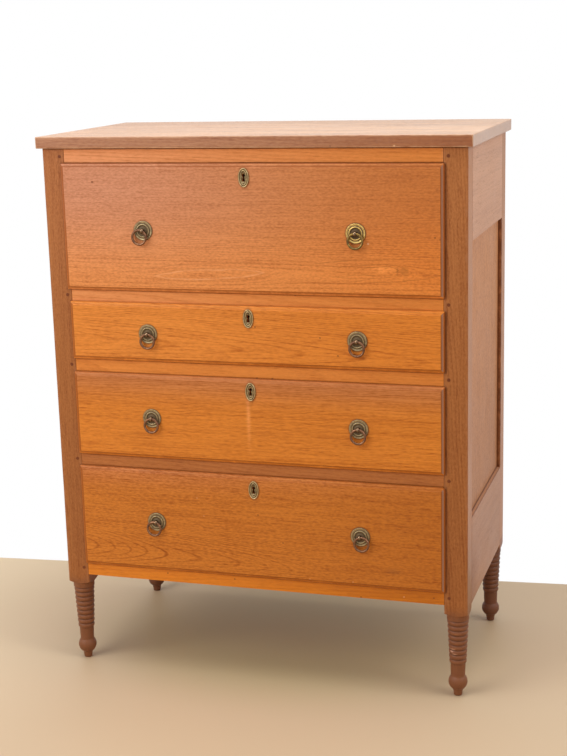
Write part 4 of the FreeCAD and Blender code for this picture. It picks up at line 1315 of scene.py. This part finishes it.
def make_drawer(number):
    tag = "_%d" % number
    low, high = fronts[number]
    plate_low, plate_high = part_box("keyhole_plate" + tag)
    plate_middle = (plate_low + plate_high) / 2
    corner_radii = (WORN_CORNER_RADIUS if number == 4 else CORNER_RADIUS,) + (CORNER_RADIUS,) * 3
    front = lip(number, low, high, corner_radii, DRAWER_WOODS[number])
    cut(front, keyhole_tool(plate_middle, low.y - FACE_CUT, low.y + FACE_CUT, KEYHOLE_SHADE))
    inside = front_inside("drawer_front" + tag, front_y - INSIDE_START, FRONT_INSIDE)
    piece = joined("drawer_front_eased" + tag, [front, inside])
    settled(piece, "drawer" + tag, "drawer_wood", "drawer_front" + tag)
    for node, material in (("drawer_sides", INNER_DEEP), ("drawer_back", INNER_ACROSS),
                           ("drawer_bottom", INNER_ACROSS), ("lock", LOCK_BRASS), ("lock_bolt", STEEL)):
        finished(node + tag, material)
    make_keyhole_plate(tag, plate_low, plate_high)
    make_pulls(number, low.y)


# How many sides a fitting has round it: a plate or ring, a stud and a stud's hole
FINE_SIDES, STUD_SIDES, HOLE_SIDES = 72, 32, 24
# Inset from the rim, depth and share of grime, from the rim to the plate's flat middle
KEYHOLE_RIM = (
    (0.2, 0.0, 0.6), (0.0, -0.4, 0.6), (0.1, -1.4, 0.3), (0.5, -2.2, 0.0), (1.15, -2.6, 0.0),
    (1.8, -2.2, 0.0), (2.3, -1.45, 0.5), (3.1, -1.15, 1.0), (3.9, -1.3, 0.6), (4.3, -1.75, 0.1),
    (4.8, -2.0, 0.0), (5.3, -1.75, 0.1), (5.7, -1.35, 0.6), (6.4, -1.25, 0.9),
)
# How high the plate's flat middle stands, and how much narrower each half is than its node's
KEYHOLE_MIDDLE, KEYHOLE_NARROWING = 1.25, 0.4


def make_keyhole_plate(tag, low, high):
    middle = (low + high) / 2
    half_width = (high.x - low.x) / 2 / MM - KEYHOLE_NARROWING
    half_height = (high.z - low.z) / 2 / MM
    rim = [(inset, depth) for inset, depth, _ in KEYHOLE_RIM]
    outline = [(half_width, 0.0)] + rim + [(half_width, -KEYHOLE_MIDDLE)]
    hollows = [0.0] + [grime for _, _, grime in KEYHOLE_RIM] + [0.7]
    spot = (middle.x, high.y, middle.z)
    piece = turned_fittings("keyhole_plate_rimmed" + tag, outline, hollows, [spot], half_width, half_height,
                            KEYHOLE_BRASS, FINE_SIDES)
    cut(piece, keyhole_tool(middle, low.y - PLATE_CUT, high.y + PLATE_CUT, KEYHOLE_BRASS))
    settled(piece, "drawer" + tag, "aged_brass", "keyhole_plate" + tag)


def rounded_steps(radii, depths, smoothing):
    """A stepped outline drawn as one smooth line through its corners."""
    points = [Vector((radii[0] - radius, -depth)) for radius, depth in zip(radii, depths)]
    smooth = []
    for index in range(len(points) - 1):
        before = points[max(index - 1, 0)]
        start, end = points[index], points[index + 1]
        after = points[min(index + 2, len(points) - 1)]
        for step in range(smoothing):
            t = step / smoothing
            bend = 2 * before - 5 * start + 4 * end - after
            twist = 3 * start - before - 3 * end + after
            smooth.append(0.5 * ((2 * start) + (end - before) * t + bend * t * t + twist * t ** 3))
    return smooth + [points[-1]]


PLATE_RADIUS = 19.6
# Radius and height of each turn in the plate's stepped face
PLATE_STEPS = (
    (19.6, 0.6), (19.3, 1.5), (18.4, 1.9), (17.0, 1.7), (15.2, 1.5), (14.3, 1.7), (13.6, 3.0), (12.4, 3.4),
    (11.2, 3.1), (10.4, 2.1), (9.0, 1.9), (7.6, 2.1), (6.6, 2.8), (5.2, 3.2), (2.0, 3.2),
)
PLATE_HEIGHT = 3.2
PLATE_SMOOTHING = 4
# Radius and reach of the hollows by the plate's rim and under its step
PLATE_HOLLOWS = ((19.6, 0.8), (14.6, 1.6))
# Where the plate's dish begins, over what width its grime deepens, and the most grime in it
DISH_RADIUS, DISH_WIDTH, DISH_GRIME = 11.8, 2.2, 0.95
# How grimy a ring is all over, and the points round its wire and round a stud's ball
RING_GRIME = 0.2
WIRE_STEPS, STUD_STEPS = 16, 20
# The stud: its ball and shank, how far its eye stands out, the eye's hole and the flats on the ball
BALL_RADIUS, SHANK_RADIUS, EYE_DISTANCE, HOLE_RADIUS, BALL_FLAT = 4.7, 2.4, 6.9, 2.88, 2.5
# How far before the drawer's face the ball ends and the shank begins, and the reach of the hole's cutter
BALL_BACK, SHANK_START, HOLE_REACH = 3.0, 2.9, 9.0
# The drawer front's thickness behind its face, the nut on the stud and the shank's end past it
FRONT_DEPTH, NUT_DEPTH, NUT_HALF, NUT_EASING, SHANK_END = 22.0, 4.0, 5.5, 0.5, 2.0


def plate_hollow(radius):
    """How deep in a hollow of the plate a radius is: by its rim, under its step and in its dish."""
    dish = min(max((DISH_RADIUS - radius) / DISH_WIDTH, 0.0), DISH_GRIME)
    beside = sum(max(0.0, 1.0 - abs(radius - middle) / reach) for middle, reach in PLATE_HOLLOWS)
    return min(1.0, dish + beside)


def make_pulls(number, face_y):
    tag = "_%d" % number
    stepped = [tuple(point) for point in rounded_steps(*zip(*PLATE_STEPS), PLATE_SMOOTHING)]
    outline = [(PLATE_RADIUS, 0.0), (0.0, 0.0)] + stepped + [(PLATE_RADIUS, -PLATE_HEIGHT)]
    hollows = [0.0] + [plate_hollow(PLATE_RADIUS - inset) for inset, _ in outline[1:]]
    plates, studs = [], []
    for side in SIDES:
        joint = JOINTS["ring_swing_" + side + tag]
        eye = Vector(joint["pos_m"])
        turn = math.atan2(joint["axis"][2], -joint["axis"][0])
        # The first drawer's right pull is brighter than the others
        material = BRIGHT_BRASS if (number, side) == (1, "right") else AGED_BRASS
        spot = (eye.x, face_y, eye.z)
        plates.append(turned_fittings("plate", outline, hollows, [spot], PLATE_RADIUS, PLATE_RADIUS, material,
                                      FINE_SIDES))
        studs.append(make_stud(eye, face_y, turn))
    piece = joined("pull_plates_rimmed" + tag, plates + studs)
    settled(piece, "drawer" + tag, "aged_brass", "pull_plates" + tag)
    for side in SIDES:
        material = GOLD_RING_BRASS if (number, side) == (1, "right") else RING_BRASS
        make_ring(side + tag, material)


def make_ring(tag, material):
    """A ring of round wire that fills the box of its node."""
    low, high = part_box("pull_ring_" + tag)
    wire = (high.y - low.y) / 2 / MM
    outer = (high.z - low.z) / 2 / MM
    angles = [math.tau * step / WIRE_STEPS for step in range(WIRE_STEPS + 1)]
    outline = [(wire - wire * math.cos(angle), wire * math.sin(angle)) for angle in angles]
    ring = turned_fittings("pull_ring_" + tag + "_wire", outline, [RING_GRIME] * len(outline),
                           [tuple((low + high) / 2)], outer, outer, material, FINE_SIDES)
    settled(ring, "ring_" + tag, "ring_brass", "pull_ring_" + tag)


def make_stud(eye, face_y, turn):
    """A ball with two flats and a cross hole on a threaded shank, and the nut inside the drawer."""
    start = math.acos((BALL_BACK - EYE_DISTANCE) / BALL_RADIUS)
    outline = []
    for step in range(STUD_STEPS + 1):
        angle = start * step / STUD_STEPS
        depth = -EYE_DISTANCE - BALL_RADIUS * math.cos(angle)
        outline.append((BALL_RADIUS - BALL_RADIUS * math.sin(angle), depth))
    back = FRONT_DEPTH + NUT_DEPTH + SHANK_END
    inset = BALL_RADIUS - SHANK_RADIUS
    shank = [(inset, -SHANK_START), (inset, back - 0.4), (inset + 0.5, back), (BALL_RADIUS, back)]
    hollows = [0.0] * len(outline) + [1.0] * len(shank)
    stud = turned_fittings("stud", outline + shank, hollows, [(0.0, 0.0, 0.0)], BALL_RADIUS, BALL_RADIUS,
                           BALL_BRASS, STUD_SIDES)
    flat = BALL_FLAT * MM
    for vertex in stud.data.vertices:
        vertex.co.x = min(max(vertex.co.x, -flat), flat)
    outline = [(HOLE_RADIUS, -HOLE_REACH), (0.0, -HOLE_REACH), (0.0, HOLE_REACH), (HOLE_RADIUS, HOLE_REACH)]
    hole = turned_fittings("hole", outline, [1.0] * len(outline), [(0.0, 0.0, 0.0)], HOLE_RADIUS, HOLE_RADIUS,
                           AGED_BRASS, HOLE_SIDES)
    across = Matrix.Rotation(math.pi / 2, 4, "Z")
    hole.data.transform(Matrix.Translation((0, -EYE_DISTANCE * MM, 0)) @ across)
    cut(stud, hole)
    nut_low = Vector((-NUT_HALF, FRONT_DEPTH, -NUT_HALF)) * MM
    nut_high = Vector((NUT_HALF, FRONT_DEPTH + NUT_DEPTH, NUT_HALF)) * MM
    nut = eased_board("nut", nut_low, nut_high, NUT_EASING * MM, STEEL)
    piece = joined("stud_and_nut", [stud, nut])
    piece.data.transform(Matrix.Translation((eye.x, face_y, eye.z)) @ Matrix.Rotation(turn, 4, "Y"))
    return piece


# ---------------------------------------------------------------- floor, light and camera

# The floor's corners, seen from above: it ends where a wall would stand behind the chest
FLOOR_CORNERS = ((-9.0, -9.0), (9.0, -9.0), (9.0, 1.27), (-9.0, -0.44))
FLOOR_TONES = tone(220, 193, 159), tone(212, 186, 152)
# The floor has painted light to the left between these distances, and a painted shadow, darker and yellower,
# under the chest
LEFT_LIGHT_TONE, LEFT_LIGHT_REACH = tone(255, 230, 193), (-1.1, -0.3)
UNDER_SHADOW_TONE, UNDER_SHADOW_SIZE = tone(190, 170, 126), (0.6, 0.42, 1.0)

# Name, place, what it is aimed at, width and height, and power of each lamp
LAMPS = (
    ("key", (-2.2, -2.6, 2.2), (0.0, 0.0, 0.6), (2.4, 2.0), 62.0),
    ("right_fill", (3.0, -0.6, 2.4), (0.4, 0.0, 0.8), (2.0, 2.0), 38.0),
    ("ceiling", (0.1, -0.3, 3.3), (0.0, 0.0, 0.5), (2.6, 2.0), 48.0),
)
# The even light from all round, which is white only where it is seen
WORLD_FILL = 0.3

CAMERA_PLACE = (0.91325, -2.9376, 1.30891)
# In degrees: how far the camera turns left, looks down and rolls
CAMERA_TURN, CAMERA_DOWN, CAMERA_ROLL = 17.36368, 13.06904, -1.56516
# The sensor's longer side in millimetres, and the focal length and that side in pixels
SENSOR, FOCAL_LENGTH, FRAME_HEIGHT = 36.0, 1480.23, 756.0


def make_floor():
    mesh = bpy.data.meshes.new("floor")
    mesh.from_pydata([(x, y, 0.0) for x, y in FLOOR_CORNERS], [], [(0, 1, 2, 3)])
    material, tree, place = new_material("pale_floor")
    patches = place.clouds(scale=0.8, detail=2.0)
    # Painted light to the left, and a painted shadow under the chest
    left_light = 1.0 - place.parts()[0].eased(*LEFT_LIGHT_REACH)
    colour = mixed(left_light, mixed(patches.eased(0.2, 0.8), *FLOOR_TONES), LEFT_LIGHT_TONE)
    values = {"Place": place, "Size": UNDER_SHADOW_SIZE, "Softness": 0.7, "Raggedness": 0.0}
    shaded(tree, {
        "Base Color": mixed(group_in(tree, SPOT, values, "Mask"), colour, UNDER_SHADOW_TONE),
        "Roughness": patches * 0.1 + 0.5,
    })
    mesh.materials.append(material)
    new_piece("floor", mesh)


def make_lamp(name, place, aim, size, power):
    lamp = bpy.data.lights.new(name, "AREA")
    lamp.shape = "RECTANGLE"
    lamp.size, lamp.size_y = size
    lamp.energy = power
    holder = bpy.data.objects.new(name, lamp)
    bpy.context.scene.collection.objects.link(holder)
    holder.location = place
    holder.rotation_euler = (Vector(aim) - Vector(place)).to_track_quat("-Z", "Y").to_euler()


def make_light():
    world = bpy.data.worlds.new("studio")
    bpy.context.scene.world = world
    world.use_nodes = True
    tree = world.node_tree
    tree.nodes.clear()
    camera, glossy, through = [add_node(tree, "ShaderNodeLightPath", out=out)
                               for out in ("Is Camera Ray", "Is Glossy Ray", "Is Transmission Ray")]
    white = camera.math("MAXIMUM", glossy).math("MAXIMUM", through)
    strength = white * (1.0 - WORLD_FILL) + WORLD_FILL
    surface = add_node(tree, "ShaderNodeBackground", {"Color": (1.0, 1.0, 1.0, 1.0), "Strength": strength})
    end = tree.nodes.new("ShaderNodeOutputWorld")
    tree.links.new(surface.socket, end.inputs["Surface"])
    for lamp in LAMPS:
        make_lamp(*lamp)


def make_camera():
    data = bpy.data.cameras.new("camera")
    data.sensor_width = SENSOR
    data.lens = SENSOR * FOCAL_LENGTH / FRAME_HEIGHT
    data.clip_end = 100.0
    camera = bpy.data.objects.new("camera", data)
    bpy.context.scene.collection.objects.link(camera)
    turn = Matrix.Rotation(math.radians(CAMERA_TURN), 4, "Z")
    tilt = Matrix.Rotation(math.radians(90.0 - CAMERA_DOWN), 4, "X")
    roll = Matrix.Rotation(math.radians(CAMERA_ROLL), 4, "Z")
    camera.matrix_world = Matrix.Translation(CAMERA_PLACE) @ turn @ tilt @ roll
    bpy.context.scene.camera = camera


make_case()
for number in DRAWERS:
    make_drawer(number)
make_floor()
make_light()
make_camera()
bpy.context.scene.view_settings.view_transform = "Standard"
